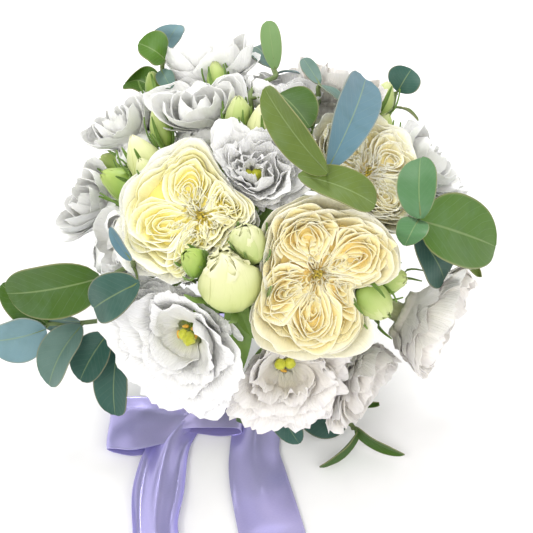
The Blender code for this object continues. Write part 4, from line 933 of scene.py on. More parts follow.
class Pile:
    """Points and faces of one piece, and how far along, across and of what tone each point is."""

    def __init__(self):
        self.points, self.faces, self.marks, self.count = [], [], [], 0

    def add(self, points, faces, along, across, tone):
        size = len(points)
        marks = [np.broadcast_to(np.asarray(m, float).ravel(), size) for m in (along, across, tone)]
        self.points.append(points)
        self.faces.append(faces + self.count)
        self.marks.append(np.stack(marks, 1))
        self.count += size

    def sheet(self, mid, thick, along, across, tone):
        """Closed thin sheet round a grid of points, as thick at each point as thick says."""
        rows, cols = mid.shape[:2]
        half = normals(mid) * np.broadcast_to(thick, (rows, cols))[..., None] / 2
        points = np.concatenate([(mid + half).reshape(-1, 3), (mid - half).reshape(-1, 3)])
        under = rows * cols
        at = np.arange(under).reshape(rows, cols)
        top = np.stack([at[:-1, :-1], at[1:, :-1], at[1:, 1:], at[:-1, 1:]], -1).reshape(-1, 4)
        rim = np.concatenate([at[:-1, 0], at[-1, :-1], at[:0:-1, -1], at[0, :0:-1]])
        after = np.roll(rim, -1)
        sides = np.stack([after, rim, rim + under, after + under], 1)
        twice = [np.tile(np.broadcast_to(m, (rows, cols)).ravel(), 2) for m in (along, across, tone)]
        self.add(points, np.concatenate([top, top[:, ::-1] + under, sides]), *twice)

    def rings(self, rings, along, tone):
        """Closed shape through rings of points, shut at each end round the middle of its last ring."""
        rings = np.asarray(rings)
        count, sides = rings.shape[:2]
        at = np.arange(count * sides).reshape(count, sides)
        after = np.roll(at, -1, axis=1)
        faces = np.stack([at[:-1], after[:-1], after[1:], at[1:]], -1).reshape(-1, 4)
        ends = count * sides + np.arange(2)
        caps = [np.stack([np.full(sides, ends[0]), after[0], at[0], at[0]], 1)]
        caps.append(np.stack([np.full(sides, ends[1]), at[-1], after[-1], after[-1]], 1))
        points = np.concatenate([rings.reshape(-1, 3), [rings[0].mean(0), rings[-1].mean(0)]])
        along = np.broadcast_to(np.asarray(along, float).reshape(-1, 1), (count, sides)).ravel()
        turn = np.tile(np.arange(sides) / sides, count)
        self.add(points, np.concatenate([faces, *caps]), np.append(along, [along[0], along[-1]]),
                 np.append(turn, [0, 0]), tone)

    def rod(self, path, radii, sides, tone):
        """Round rod along a path."""
        path = np.asarray(path, float)
        along = unit(np.gradient(path, axis=0))
        side = np.cross(along[0], unit(along[0] + np.array([0.3, 0.5, 0.8])))
        turn = np.arange(sides)[:, None] * 2 * math.pi / sides
        rings = []
        for point, way, radius in zip(path, along, np.broadcast_to(radii, len(path))):
            side = unit(side - (side @ way) * way)
            rings.append(point + radius * (np.cos(turn) * side + np.sin(turn) * np.cross(way, side)))
        self.rings(rings, np.linspace(0, 1, len(path)), tone)

    def piece(self, name, look, slot, *nodes):
        """The Blender object, riding on the bouquet, in place of the nodes that it stands for."""
        points = (np.concatenate(self.points) - ORIGIN) * MM
        faces = [face[:3] if face[2] == face[3] else face for face in np.concatenate(self.faces).tolist()]
        mesh = bpy.data.meshes.new(name)
        mesh.from_pydata(points.tolist(), [], faces)
        for mark, values in zip(("along", "across", "tone"), np.concatenate(self.marks).T):
            mesh.attributes.new(mark, "FLOAT", "POINT").data.foreach_set("value", values.astype(np.float32))
        mesh.shade_smooth()
        mesh.set_sharp_from_angle(angle=math.radians(60))
        mesh.materials.append(look)
        made = bpy.data.objects.new(name, mesh)
        bpy.context.scene.collection.objects.link(made)
        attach(made, "root")
        if nodes:
            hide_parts(*nodes)
        return made


def waves(b, rng, strongest, slowest, count):
    """Sum of sines along b with seeded phases, at most strongest high."""
    total = np.zeros(np.shape(b))
    for k in range(count):
        total = total + np.sin(b * math.pi * slowest * (1 + 0.62 * k) + rng.uniform(0, 6.28)) / (1 + 0.5 * k)
    return strongest * total / sum(1 / (1 + 0.5 * k) for k in range(count))


def open_room(flowers, branches, cloth, covers):
    """Measures each flower's room again for its fine petals, which may close round the stems beside them."""
    near = np.concatenate([cloth, *covers]) - [0, 0, 0, 1.0]
    rings = np.arange(ROOM_RINGS)
    for flower in flowers.values():
        known = flower.reach > LEAST_ROOM
        flower.reach = np.interp(rings, rings[known], flower.reach[known])
        if flower.kind == "bud":
            polar = rings * math.pi / (ROOM_RINGS - 1)
            egg = 1 / np.hypot(np.cos(polar) / (0.52 * flower.depth), np.sin(polar) / flower.radius)
            flower.reach = np.maximum(flower.reach, egg)
    buds = [f for f in flowers.values() if f.kind == "bud"]
    blooms = [f for f in flowers.values() if f.kind != "bud"]
    bodies = []
    for bud in buds:
        measure_room(bud, [f for f in buds if f is not bud], near, False)
        for share, width in ((0.1, 0.6), (0.25, 0.9), (0.4, 1.0), (0.6, 0.95), (0.8, 0.7), (0.95, 0.35)):
            bodies.append([*(bud.base + share * bud.depth * bud.axis), width * bud.radius - 1.4])
    near = np.concatenate([near, bodies])
    for bloom in blooms:
        measure_room(bloom, [f for f in blooms if f is not bloom], near, False)


# Whorls of fine petals, outermost first. Each has its count, its profile and widest half width in shares
# of the flower's radius and depth, spiral, ruffle, teeth and tone.
ROSE_WHORLS = [
    (5, [(0.80, -0.05), (0.90, 0.62), (1.06, 0.80)], 0.74, 2.6, 1.4, 0.003, 0.95),
    (5, [(0.76, 0.0), (0.84, 0.72), (1.01, 0.90)], 0.70, 2.4, 1.3, 0.003, 0.85),
    (5, [(0.72, 0.1), (0.77, 0.80), (0.94, 0.98)], 0.64, 2.2, 1.2, 0.003, 0.66),
    (6, [(0.66, 0.14), (0.71, 0.84), (0.86, 1.02)], 0.54, 2.0, 1.2, 0.003, 0.50),
    (6, [(0.62, 0.20), (0.67, 0.86), (0.79, 1.04)], 0.50, 2.0, 1.3, 0.003, 0.36),
    (7, [(0.58, 0.26), (0.62, 0.88), (0.72, 1.03)], 0.40, 1.8, 1.3, 0.003, 0.26),
]
CUP_WHORLS = [
    (4, [(1.00, -0.04), (0.98, 0.50), (1.18, 0.74)], 0.94, 3.6, 1.4, 0.014, 0.7),
    (3, [(0.92, 0.00), (0.96, 0.62), (0.98, 0.94)], 1.10, 4.0, 1.1, 0.012, 0.6),
    (3, [(0.80, 0.06), (0.82, 0.72), (0.72, 1.05)], 0.94, 3.6, 1.0, 0.012, 0.5),
    (3, [(0.62, 0.10), (0.62, 0.78), (0.46, 1.12)], 0.74, 3.0, 0.8, 0.01, 0.4),
    (3, [(0.42, 0.14), (0.42, 0.80), (0.24, 1.12)], 0.50, 2.4, 0.6, 0.01, 0.3),
    (2, [(0.24, 0.16), (0.22, 0.80), (0.10, 1.10)], 0.30, 1.6, 0.4, 0.01, 0.2),
]
# Whorls of an open lisianthus: count, foot, middle and rim of the profile, widest half width and tone
OPEN_WHORLS = [
    (6, (0.44, 0.26), (0.56, 0.86), (1.05, 0.76), 0.70, 0.5),
    (5, (0.42, 0.30), (0.52, 0.94), (0.97, 0.89), 0.70, 0.5),
    (5, (0.40, 0.34), (0.46, 1.00), (0.82, 1.00), 0.62, 0.5),
    (5, (0.37, 0.36), (0.40, 1.02), (0.64, 1.09), 0.50, 0.45),
    (3, (0.34, 0.36), (0.35, 1.00), (0.50, 1.12), 0.42, 0.4),
]
THROAT_WHORLS = [
    (4, (0.26, 0.38), (0.25, 0.98), (0.36, 1.12), 0.34, 0.4),
    (3, (0.14, 0.38), (0.13, 0.96), (0.20, 1.10), 0.24, 0.35),
]


class Petal:
    """How one fine petal is shaped: ruffle and teeth of its rim, its tone, and its rows and columns."""

    def __init__(self, controls, azimuth, petals, most, spiral, ruffle, teeth, tone, size):
        self.controls, self.azimuth, self.petals, self.most = controls, azimuth, petals, most
        self.spiral, self.ruffle, self.teeth, self.tone, self.size = spiral, ruffle, teeth, tone, size

    def grid(self, rng):
        """Mid-surface, with how far along and across it each point is."""
        a, b = grid_of(*self.size)
        a = a**0.9
        bitten = self.teeth * rng.uniform(-1, 1, b.shape) + waves(b, rng, 0.05, 1.3, 2)
        s = a * (1 - 0.24 * np.abs(b) ** 2.6) * (1 + bitten * a**6)
        profile, slope = profile_of(self.controls, s)
        width = np.minimum(profile[..., 0] * math.pi / self.petals * (0.8 + 0.9 * s), self.most)
        angle = self.azimuth + b * width / np.maximum(profile[..., 0], 1)
        lift = self.spiral * b * s + waves(b + 0.25 * a, rng, 1.0, 2.2, 3) * self.ruffle * s**3
        return lifted(profile, slope, angle, lift), s, b


def whorls(flower, specs, start, root, low, rng, scatter=0.06, ruffled=1.0, size=(12, 23)):
    """Fine petals of a flower's whorls, which start round its axis at root and low."""
    found = []
    for w, (count, shares, most, spiral, ruffle, teeth, tone) in enumerate(specs):
        rest = most * flower.radius, spiral, ruffle * ruffled, teeth, tone, size
        for p in range(count):
            azimuth = (p + 0.5 * w) * 2 * math.pi / count + start + rng.uniform(-scatter, scatter)
            grow = 1 + rng.uniform(-scatter, scatter) * np.array([1.0, 0.8])
            controls = [(root, low + 1.4 * w), *(np.asarray(c) * grow for c in flower.scaled(shares))]
            found.append(Petal(controls, azimuth, count, *rest))
    return found


def reach_map(flower, local):
    """How far the fine shape goes from the star point, on rings and spokes of directions."""
    away = (flower.place(local) - flower.star).reshape(-1, 3)
    far = np.linalg.norm(away, axis=1)
    ring, spoke = ring_of(away @ flower.axis / far), flower.spoke_of(away)
    found = np.full((ROOM_RINGS, ROOM_SPOKES), LEAST_ROOM)
    for i in (np.floor(ring), np.ceil(ring)):
        for j in (np.floor(spoke), np.ceil(spoke)):
            np.maximum.at(found, (i.astype(int), j.astype(int) % ROOM_SPOKES), far)
    wide = np.max([np.roll(found, k, 1) for k in (-1, 0, 1)], axis=0)
    wide[1:-1] = np.maximum(wide[1:-1], np.maximum(wide[:-2], wide[2:]) * 0.94)
    wide[0], wide[-1] = wide[0].max(), wide[-1].max()
    return evened(wide)


def settle_fine(flower, points, reach, most=GROW):
    """Places fine points in the bouquet, drawn in or out to fill the room that the flower has."""
    placed = flower.place(points)
    away = placed - flower.star
    far = np.maximum(np.linalg.norm(away, axis=-1, keepdims=True), 1e-6)
    way = away / far
    full, free = flower.towards(way)
    limit = np.minimum(free, FILL[flower.kind] * full)
    if np.ndim(reach) == 2:
        own = flower.read(reach, way)
    else:
        own = np.interp(ring_of(way @ flower.axis), np.arange(ROOM_RINGS), reach)
    return flower.star + away * np.minimum(most, TIGHT * limit / own)[..., None]


def leaned(flower, points, lean, faced=0.0):
    """Points of a flower's own frame with its throat moved sideways and its bloom turned to the viewer.

    The rim and the foot stay where they are when it is moved, and the foot alone when it is turned.
    """
    r, h = flower.radius, flower.depth
    near = np.clip(1 - np.hypot(points[..., 0], points[..., 1]) / r, 0, 1)
    move = np.clip(points[..., 2] / h, 0, 1) * near * r
    points = points + move[..., None] * np.array([lean[0], lean[1], 0.0])
    ahead = unit([flower.across @ FACE, flower.upward @ FACE, 0.0])
    rise = np.clip((points[..., 2] / h - 0.1) / 0.5, 0, 1)
    angle = faced * math.acos(flower.axis @ FACE) * rise**2 * (3 - 2 * rise)
    out, high = points @ ahead, points[..., 2] - 0.45 * h
    moved = out * np.cos(angle) + high * np.sin(angle) - out
    raised = high * np.cos(angle) - out * np.sin(angle) - high
    return points + moved[..., None] * ahead + raised[..., None] * np.array([0.0, 0.0, 1.0])


def bloom(pile, flower, petals, thick, rng, extra=(), lean=(0, 0), faced=0.0):
    """Adds a flower's petals to a pile, pressed into its room."""
    grids = [petal.grid(rng) + (petal.tone,) for petal in petals] + list(extra)
    grids = [(leaned(flower, grid, lean, faced), *rest) for grid, *rest in grids]
    reach = reach_map(flower, np.concatenate([grid.reshape(-1, 3) for grid, *_ in grids]))
    for grid, s, b, tone in grids:
        mid = settle_fine(flower, grid, reach)
        pile.sheet(mid, thick * (1.15 - 0.7 * s**3), s, b, tone + rng.uniform(-0.06, 0.06))
    return reach


def dome(ring):
    """Height of a rose's face over its depth, at a distance from the middle in shares of DOME_WIDE."""
    return 0.84 + 0.30 * ring - 0.16 * ring**2


def lobe_folds(flower, facing, span, centre, rng):
    """Nested folded petals of one lobe of a quartered rose, each leaning out over the next."""
    r, h = flower.radius, flower.depth
    out = 0.47 * r
    wide, deep = out * math.sin(span) * 1.18, 0.40 * r
    level, b = grid_of(8, 29)
    shift = rng.uniform(-0.25, 0.25)
    found = []
    for k in range(LOBE_FOLDS):
        scale = 1 - 0.86 * (k / (LOBE_FOLDS - 1)) ** 0.95
        swing = rng.uniform(-0.35, 0.35) + 0.30 * k * (1 if shift > 0 else -1)
        reach = math.pi * rng.uniform(0.62, 0.95)
        turn = b * reach + waves(b, rng, 0.22, 1.3, 2) + swing * (1 - b**2)
        cos, sin = np.cos(turn), np.sin(turn)
        arm = np.where(cos < 0, 0.72 * out * scale**0.8, deep * scale)
        taper = 1 - 0.50 * np.clip(-cos, 0, 1) ** 1.5
        lean = 1 - (0.20 + 0.10 * scale) * (1 - level) ** 1.2 + 0.05 * level**8
        rim = waves(b, rng, 0.06 * r, 2.0, 3) * level**2 * (0.3 + 0.7 * scale)
        u = out + rng.uniform(-0.03, 0.03) * r + arm * cos * lean + rim
        w = wide * scale * taper * sin * lean + waves(b + 0.5, rng, 0.05 * r, 2.3, 2) * level**2
        w = w + shift * wide * (1 - scale)
        x, y = swung(u, w, facing)
        top = h * (dome(np.hypot(x, y) / (DOME_WIDE * r)) + rng.uniform(-0.02, 0.03))
        top = top + waves(b, rng, 1.3, 2.2, 3) - 1.4 * np.clip(1 - 3 * scale, 0, 1)
        z = top - FOLD_DEEP * (1 - level**1.3) - 0.8 * level**6
        grid = np.stack([x + centre[0] * r, y + centre[1] * r, z], -1)
        found.append((grid, 0.25 + 0.75 * level, b, 0.08 + 0.25 * scale))
    return found


def inner_folds(flower, centre, rng):
    """Short crumpled petals that crowd round the middle of a rose, radiating from it."""
    r, h = flower.radius, flower.depth
    level, b = grid_of(6, 13)
    found = []
    for k in range(INNER_FOLDS):
        turn = k * 2.4 + rng.uniform(-0.2, 0.2)
        near, long, wide = (rng.uniform(*span) * r for span in ((0.10, 0.34), (0.10, 0.17), (0.03, 0.06)))
        u = near + long * np.cos(b * 2.2) * (0.8 + 0.2 * level) + waves(b, rng, 0.012 * r, 2.0, 2)
        w = wide * np.sin(b * 2.2) * (0.8 + 0.2 * level) * 1.3 + waves(b, rng, 0.02 * r, 1.6, 2) * level
        x, y = swung(u, w, turn)
        top = h * (0.83 + 0.28 * u / (DOME_WIDE * r) + rng.uniform(-0.02, 0.03)) + waves(b, rng, 0.8, 2.0, 2)
        z = top - FOLD_DEEP * (1 - level**1.3)
        grid = np.stack([x + centre[0] * r, y + centre[1] * r, z], -1)
        found.append((grid, 0.2 + 0.8 * level, b, 0.06))
    return found


def rose_floor(flower, centre):
    """The petals' crowded feet, which close the view between the folds."""
    r, h = flower.radius, flower.depth
    out = np.linspace(0.02, 1, 9)[:, None]
    turn = np.linspace(0, 2 * math.pi, 37)[None, :]
    x = out * 0.80 * r * np.cos(turn) + centre[0] * r * (1 - out)
    y = out * 0.80 * r * np.sin(turn) + centre[1] * r * (1 - out)
    ring = np.hypot(x - centre[0] * r, y - centre[1] * r) / (DOME_WIDE * r)
    z = h * dome(ring) - 0.8 * FOLD_DEEP - 2.0 * np.exp(-((ring / 0.12) ** 2))
    z = z - 9 * np.clip(out - 0.85, 0, 1) / 0.15 + 0.5 * np.sin(9 * turn + 14 * out) * out
    return np.stack([x, y, z], -1), 0.2 + 0.25 * out, 0.0, 0.02


def build_rose(number, flower, looks):
    """Guard petals, folded lobes and tuft of stamens of one rose."""
    rng = np.random.default_rng(100 + number)
    r, top = flower.radius, 0.84 * flower.depth
    look, centre, lobes = ROSES[number]
    petals = whorls(flower, ROSE_WHORLS, 0.3 + number, 6, 1.2, rng)
    folds = [rose_floor(flower, centre)]
    for angle, span in lobes:
        folds += lobe_folds(flower, math.radians(angle), math.radians(span), centre, rng)
    folds += inner_folds(flower, centre, rng)
    pile, tuft, name = Pile(), Pile(), f"garden_rose_{number}"
    reach = bloom(pile, flower, petals, 0.55, rng, folds)
    pile.piece(f"{name}_bloom", looks[look], "rose_petals", f"{name}_petals")
    middle = np.array([centre[0] * r, centre[1] * r, 0.0])
    for _ in range(TUFT_THREADS):
        turn, lean = rng.uniform(0, 6.28), rng.uniform(0.5, 4.2)
        out = lean * np.array([math.cos(turn), math.sin(turn), 0.0])
        tip = middle + out + [0, 0, top - 0.4 * lean + rng.uniform(-1.4, 0.6)]
        foot = middle + 0.3 * out + [0, 0, top - 9]
        path = settle_fine(flower, through([foot, 0.45 * foot + 0.55 * tip + [0, 0, 0.6], tip], 7), reach)
        tuft.rod(path, 0.22, 5, 0.2)
        way = unit(path[-1] - path[-2])
        steps = np.linspace(-0.9, 0.9, 5)
        tuft.rod([path[-1] + way * t for t in steps], 0.15 + 0.42 * np.sqrt(1 - (steps / 1.05) ** 2), 6, 0.9)
    tuft.piece(f"{name}_tuft", looks["stamens"], "rose_stamens", f"{name}_stamens")


def build_open(number, flower, looks):
    """Ruffled petals and heart of one open lisianthus."""
    rng = np.random.default_rng(200 + number)
    h = flower.depth
    look, ruffle, lean, faced, bell, full = OPENS[number]
    specs = []
    for count, foot, mid, rim, wide, tone in OPEN_WHORLS + (THROAT_WHORLS if full else []):
        shares = [
            (foot[0] + 0.38 * bell, foot[1] * (1 - 0.8 * bell)),
            (mid[0] + 0.24 * bell, mid[1] - 0.16 * bell),
            (rim[0] * (1 - 0.04 * bell), rim[1] + 0.16 * bell * rim[0]),
        ]
        specs.append((count, shares, wide, 2.8, 0.6 + 0.4 * rim[0], 0.03, tone))
    petals = whorls(flower, specs, 1.1 + number, 4.5, 1.2, rng, 0.08, ruffle, (12, 27))
    pile, heart, name = Pile(), Pile(), f"lisianthus_{number}"
    reach = bloom(pile, flower, petals, 0.4, rng, (), lean, faced)
    pile.piece(f"{name}_bloom", looks[look], "white_petals", f"{name}_petals")

    def part(points, radii, sides, tone):
        points = leaned(flower, np.asarray(points, float), lean, faced)
        heart.rod(settle_fine(flower, points, reach), radii, sides, tone)

    steps = np.linspace(0, 1, 15)
    profile = np.interp(steps, [0, 0.1, 0.35, 0.6, 0.75, 1], [2.4, 3.2, 3.8, 2.2, 1.4, 1.2])
    part(np.stack([0 * steps, 0 * steps, 7 + steps * 0.40 * h], 1), profile, 12, 0.15)
    for side in (-1, 1):
        t = np.linspace(0, 1, 11)
        up = 7 + 0.40 * h + 3.4 * np.sin(2.2 * t)
        lobe = np.stack([side * (0.6 + 4.6 * t), 0.8 * np.sin(3 * t), up], 1)
        part(lobe, 0.6 + 2.9 * np.sin(math.pi * np.clip(t, 0.04, 0.97)) ** 0.7, 12, 0.6)
    for k in range(5):
        turn = k * 2 * math.pi / 5 + number
        out = np.array([math.cos(turn), math.sin(turn), 0.0])
        path = [out * 2.6 + [0, 0, 7], out * 5.2 + [0, 0, 0.3 * h], out * 7.0 + [0, 0, 7 + 0.34 * h]]
        part(through(path, 9), 0.36, 6, 0.3)
        t = np.linspace(-1, 1, 9)
        anther = out * 7.2 + np.stack([-2.6 * t * out[1], 2.6 * t * out[0], 7.8 + 0.34 * h + 0.5 * t**2], 1)
        part(anther, 0.25 + 0.95 * np.sqrt(1 - 0.98 * t**2), 8, 1.0)
    heart.piece(f"{name}_heart", looks["heart"], "pistil", f"{name}_pistil")


def build_cup(number, flower, looks):
    """Wound petals of one half-open lisianthus."""
    rng = np.random.default_rng(300 + number)
    look, ruffle, faced = CUPS[number]
    petals = whorls(flower, CUP_WHORLS, float(number), 4, 1.0, rng, 0.05, ruffle, (11, 23))
    pile, name = Pile(), f"half_open_lisianthus_{number}"
    bloom(pile, flower, petals, 0.4, rng, faced=faced)
    pile.piece(f"{name}_bloom", looks[look], "white_petals", f"{name}_petals")


def sepal(pile, flower, turn, outs, ups, width, tone):
    """Narrow pointed sepal that follows a curve of distances out and up."""
    line = through(np.stack([outs, ups], 1), 13)
    t = np.linspace(0, 1, 13)
    half = width * np.sin(math.pi * (0.18 + 0.82 * t)) ** 0.8 + 0.12
    b = np.linspace(-1, 1, 5)
    out = np.array([math.cos(turn), math.sin(turn), 0.0])
    side = np.array([-math.sin(turn), math.cos(turn), 0.0])
    grid = line[:, None, :1] * out + b[None, :, None] * half[:, None, None] * side
    grid[..., 2] += line[:, None, 1]
    grid = grid + out * (0.5 * width * (b**2)[None, :, None])
    pile.sheet(settle_fine(flower, grid, flower.reach * 1.12, 1.04), 0.5, t[:, None], b[None, :], tone)


def build_bud(pile, flower):
    """Closed bud of petals that wind round each other, with five narrow sepals at its foot."""
    rng = np.random.default_rng(400 + flower.seed)
    r, h = flower.radius, flower.depth
    blunt, tone = BUD_STYLES[flower.seed]
    sides, levels = 28, 18
    z = np.linspace(0, 1, levels)
    profile = r * ((1 - blunt) * np.interp(z, *POINTED_BUD) + blunt * np.interp(z, *BLUNT_BUD))
    turn = np.arange(sides) * 2 * math.pi / sides
    rings = from_polar(0.92 * profile[:, None], turn, 0.97 * z[:, None] * h)
    level, b = grid_of(15, 13, 0)
    sheets = []
    for p in range(BUD_PETALS):
        crumple = waves(b + level, rng, 0.028, 1.8, 4) * (0.4 + blunt)
        notch = 0.05 * blunt * (level > 0.9) * np.sin(9 * b + p)
        height = np.clip(level * (1.0 - 0.10 * (1 - b) ** 2) + notch, 0, 1.04)
        around = p * 2 * math.pi / BUD_PETALS + 1.3 * height + b * BUD_WRAP * (1 - 0.35 * level**3)
        out = np.interp(height, z, profile) * (0.95 + 0.045 * b + 0.6 * crumple) + 0.35
        flare = blunt * 0.20 * r * np.clip(level - 0.84, 0, 1) / 0.16
        out = out + flare * (0.3 + np.abs(np.sin(10 * b + 2 * p)))
        sheets.append(from_polar(out, around, height * h))
    tilt = np.array([*BUD_TILTS.get(flower.seed, (0.0, 0.30)), 0.0]) * r
    rings, *sheets = (grid + np.clip(grid[..., 2:] / h, 0, 1.1) ** 1.5 * tilt for grid in (rings, *sheets))
    own = reach_map(flower, np.concatenate([sheet.reshape(-1, 3) for sheet in (rings, *sheets)]))
    pile.rings(settle_fine(flower, rings, own, 1.06), z, tone)
    for sheet in sheets:
        shade = tone + rng.uniform(-0.05, 0.05)
        pile.sheet(settle_fine(flower, sheet, own, 1.06), 0.35, level, b, shade)
    for k in range(5):
        curl = rng.uniform(0.1, 0.6)
        outs = [1.6, 0.66 * r + 0.6, (1.04 + 0.05 * curl) * r + 0.8]
        outs += [(0.95 + 0.5 * curl) * r + 0.8, (0.8 + curl) * r]
        ups = [-0.6, 0.06 * h, 0.34 * h, 0.66 * h, (0.98 - 0.25 * curl) * h]
        sepal(pile, flower, k * 2 * math.pi / 5 + flower.seed, outs, ups, 0.07 * r + 0.55, 0.0)


def foliage(pile, flower, angle, long, wide):
    """Leaf on the stem just below a flower, lying outward between its neighbours."""
    way = math.cos(math.radians(angle)) * RIGHT + math.sin(math.radians(angle)) * UP
    t, b = grid_of(21, 9)
    half = wide / 2 * np.sin(math.pi * (0.06 + 0.94 * t) ** 0.85) ** 0.9 + 0.15
    line = flower.base - 4 * flower.axis + t * long * way - 3.5 * np.sin(2.4 * t) * FACE
    grid = line[:, None] + (b * half)[..., None] * np.cross(way, FACE)
    grid = grid + (0.22 * half * b**2)[..., None] * FACE
    pile.sheet(grid, 0.5, t, b, 0.0)


def build_plant(name, plant, slot, names, flowers, branches, looks):
    """Stem of one rose or lisianthus plant with its branches, buds and sepals."""
    pile = Pile()
    rose = name.startswith("rose")
    own = [b for b in branches if b.plant == plant]
    stems(pile, slot, own, 0.05 if rose else 0.0)
    for member in names:
        flower = flowers[member]
        for leaf in FOLIAGE.get(member, ()):
            foliage(pile, flower, *leaf)
        if member.startswith("bud"):
            build_bud(pile, flower)
            continue
        steps = np.array([-5.0, -4.2, -3.0, -1.6, -0.5, 0.2])
        path = flower.base + steps[:, None] * flower.axis
        pile.rod(path, np.array([1.9, 2.4, 3.2, 3.6, 3.3, 2.0]), 14, 0.1)
        r, h = flower.radius, flower.depth
        reach = 0.3 if flower.kind == "open" else 0.62
        steep = 0.3 if rose else 1.0
        outs = [2.4, 5.5, (0.2 + reach) * r, (0.36 + reach) * r, (0.44 + reach) * r]
        ups = np.array([-2.2, -1.2, 0.06 * h - 1, 0.22 * h - 1, 0.42 * h - 1]) * steep
        for k in range(5):
            sepal(pile, flower, (k + 0.5) * 2 * math.pi / 5 + flower.seed, outs, ups, 1.3, 0.0)
    node = f"garden_{name}_stem" if rose else f"lisianthus_{name}"
    made = node.replace("garden_rose", "garden_rose_green").replace("lisianthus_spray", "lisianthus_greens")
    pile.piece(made, looks["greens"], "green_stems", node)


def stems(pile, slot, own, tone):
    """The handle end of a plant's stem, with its pale cut, and its branches."""
    backs = np.linspace(END_BACK, BIND_BACK + 4, 15)
    handle = np.array([at_station(slot, back) for back in backs])
    main = own[0]
    path = np.concatenate([handle, main.path])
    radii = np.concatenate([np.full(len(handle) + 1, STEM_RADIUS), np.full(len(main.path) - 1, main.radius)])
    count = 2 * len(path)
    spread_radii = np.interp(np.linspace(0, len(path) - 1, count), np.arange(len(path)), radii)
    pile.rod(through(path, count), spread_radii, 10, tone)
    way = unit(handle[0] - handle[1])
    cut = [handle[0] + way * t for t in (0.0, 0.06, 0.1)]
    pile.rod(cut, np.array([0.9, 0.88, 0.8]) * STEM_RADIUS, 12, 1.0)
    for branch in own[1:]:
        pile.rod(through(branch.path, 2 * len(branch.path)), branch.radius, 8, tone)


def smooth_grid(grid, rows, cols):
    """A coarse grid resampled on smooth curves both ways."""
    lengthwise = np.stack([through(grid[:, j], rows) for j in range(grid.shape[1])], 1)
    return np.stack([through(lengthwise[i], cols) for i in range(rows)], 0)


def build_leaves(name, plant, slot, flowers, branches, cloth, covers, looks):
    """One eucalyptus sprig: its stem, and each leaf on its stalk. Adds what its leaves cover to covers."""
    everyone = list(flowers.values())
    foreign = [b.dots() for b in branches if b.plant != plant]
    own = [b for b in branches if b.plant == plant]
    dots = np.concatenate([cloth, *foreign, *covers])
    pile = Pile()
    stems(pile, slot, own, 0.0)
    tints = [np.tile([*STALK_TINT, 1.0], (pile.count, 1))]
    rng = np.random.default_rng(500 + plant)
    for leaf, (base, tip, width, roll, arch, widest) in enumerate(SPRIGS[name][1]):
        way = FACE if base[2] + tip[2] >= 0 else -AXIS
        rows = 5 if width > 30 else 4 if width > 12 else 3
        spot = on_head(*base), on_head(*tip), width, roll, arch, widest
        plain = leaf_grid(*spot, rows, 3)
        grid = settle(plain, everyone, dots, way)
        whole = stalked(grid, own[0].path, everyone, dots)
        cover = finer(whole, 4).reshape(-1, 3)
        covers.append(as_dots(cover, 0.5))
        before = pile.count
        fine = leaf_grid(*spot, LEAF_ROWS, LEAF_COLS) + smooth_grid(grid - plain, LEAF_ROWS, LEAF_COLS)
        a, b = grid_of(LEAF_ROWS, LEAF_COLS)
        ridge = 0.012 * width * np.exp(-((b / 0.06) ** 2)) * (1 - a)
        wave = waves(a * 1.4 + 0.2 * b, rng, 0.025 * width, 1.6, 2) * b**2 + ridge
        fine = fine + normals(fine) * wave[..., None]
        fine[..., 2] = np.maximum(fine[..., 2], 0.35)
        pile.sheet(fine, 0.55, a, b, 0.0)
        rib, foot = fine[:, LEAF_COLS // 2], whole[0, 1]
        stalk = [foot, 0.5 * (foot + rib[0]), rib[1], rib[LEAF_ROWS // 4]]
        stalk_before = pile.count
        pile.rod(through(stalk, 16), np.linspace(1.0, 0.35, 16), 8, 0.0)
        tints.append(np.tile([*LEAF_TINTS[name][leaf], 1.0], (stalk_before - before, 1)))
        tints.append(np.tile([*STALK_TINT, 1.0], (pile.count - stalk_before, 1)))
    made = pile.piece(f"eucalyptus_leaves_{name}", looks["leaves"], "eucalyptus", f"eucalyptus_{name}")
    colours = np.concatenate(tints).astype(np.float32)
    made.data.attributes.new("tint", "FLOAT_COLOR", "POINT").data.foreach_set("color", colours.ravel())


# Ribbon


def pleated(line, cols, phase, rise):
    """Strand of satin along rows of x, y, z, half width and curl, pleated where it is drawn in.

    The folds are as deep as it takes to keep the ribbon's own width in the narrower space.
    """
    b = np.linspace(-1, 1, cols)[None, :]
    half = line[:, 3:4]
    spare = np.sqrt(np.maximum((RIBBON_WIDE / 2 / np.minimum(half, RIBBON_WIDE / 2)) ** 2 - 1, 0))
    folds = PLEATS * math.pi
    deep = np.minimum(1.25 * spare * half / folds, rise)
    wave = 0.5 * (1 - np.cos(folds * (b + 1) + phase * b))
    drift = 0.35 * np.sin(np.linspace(0, 5, len(line)))[:, None]
    flat = line[:, None, :3] + ((b + 0.05 * drift * (1 - b**2)) * half)[..., None] * sideways(line)[:, None]
    flat[..., 2] += line[:, 4:5] * b**2 + 2 * deep * wave
    return flat


def build_band(looks):
    """The band, wound round the stems."""
    band, sides = Pile(), 72
    t, b = grid_of(int(WRAP_TURNS * sides), 15)
    backs = WRAP_MIDDLE + WRAP_SHIFT * (t - 0.5) + b * RIBBON_WIDE / 2
    radius = np.interp(backs, WRAP_BACKS, [bundle_radius(back) + SEAT for back in WRAP_BACKS])
    turn = -math.pi / 2 + t * WRAP_TURNS * 2 * math.pi
    tuck = 0.30 + 0.62 * np.clip(t * WRAP_TURNS - 0.5, 0, 1) + 0.12 * np.sin(5 * turn + 3 * b) * (1 - b**2)
    radius = radius + tuck
    grid = MIDDLE - backs[..., None] * AXIS
    grid = grid + (radius * np.cos(turn))[..., None] * RIGHT + (radius * np.sin(turn))[..., None] * SIDE
    band.sheet(grid, SATIN_THICK, t, b, 0.35)
    return band.piece("ribbon_band", looks["ribbon"], "ribbon", "ribbon_wrap")


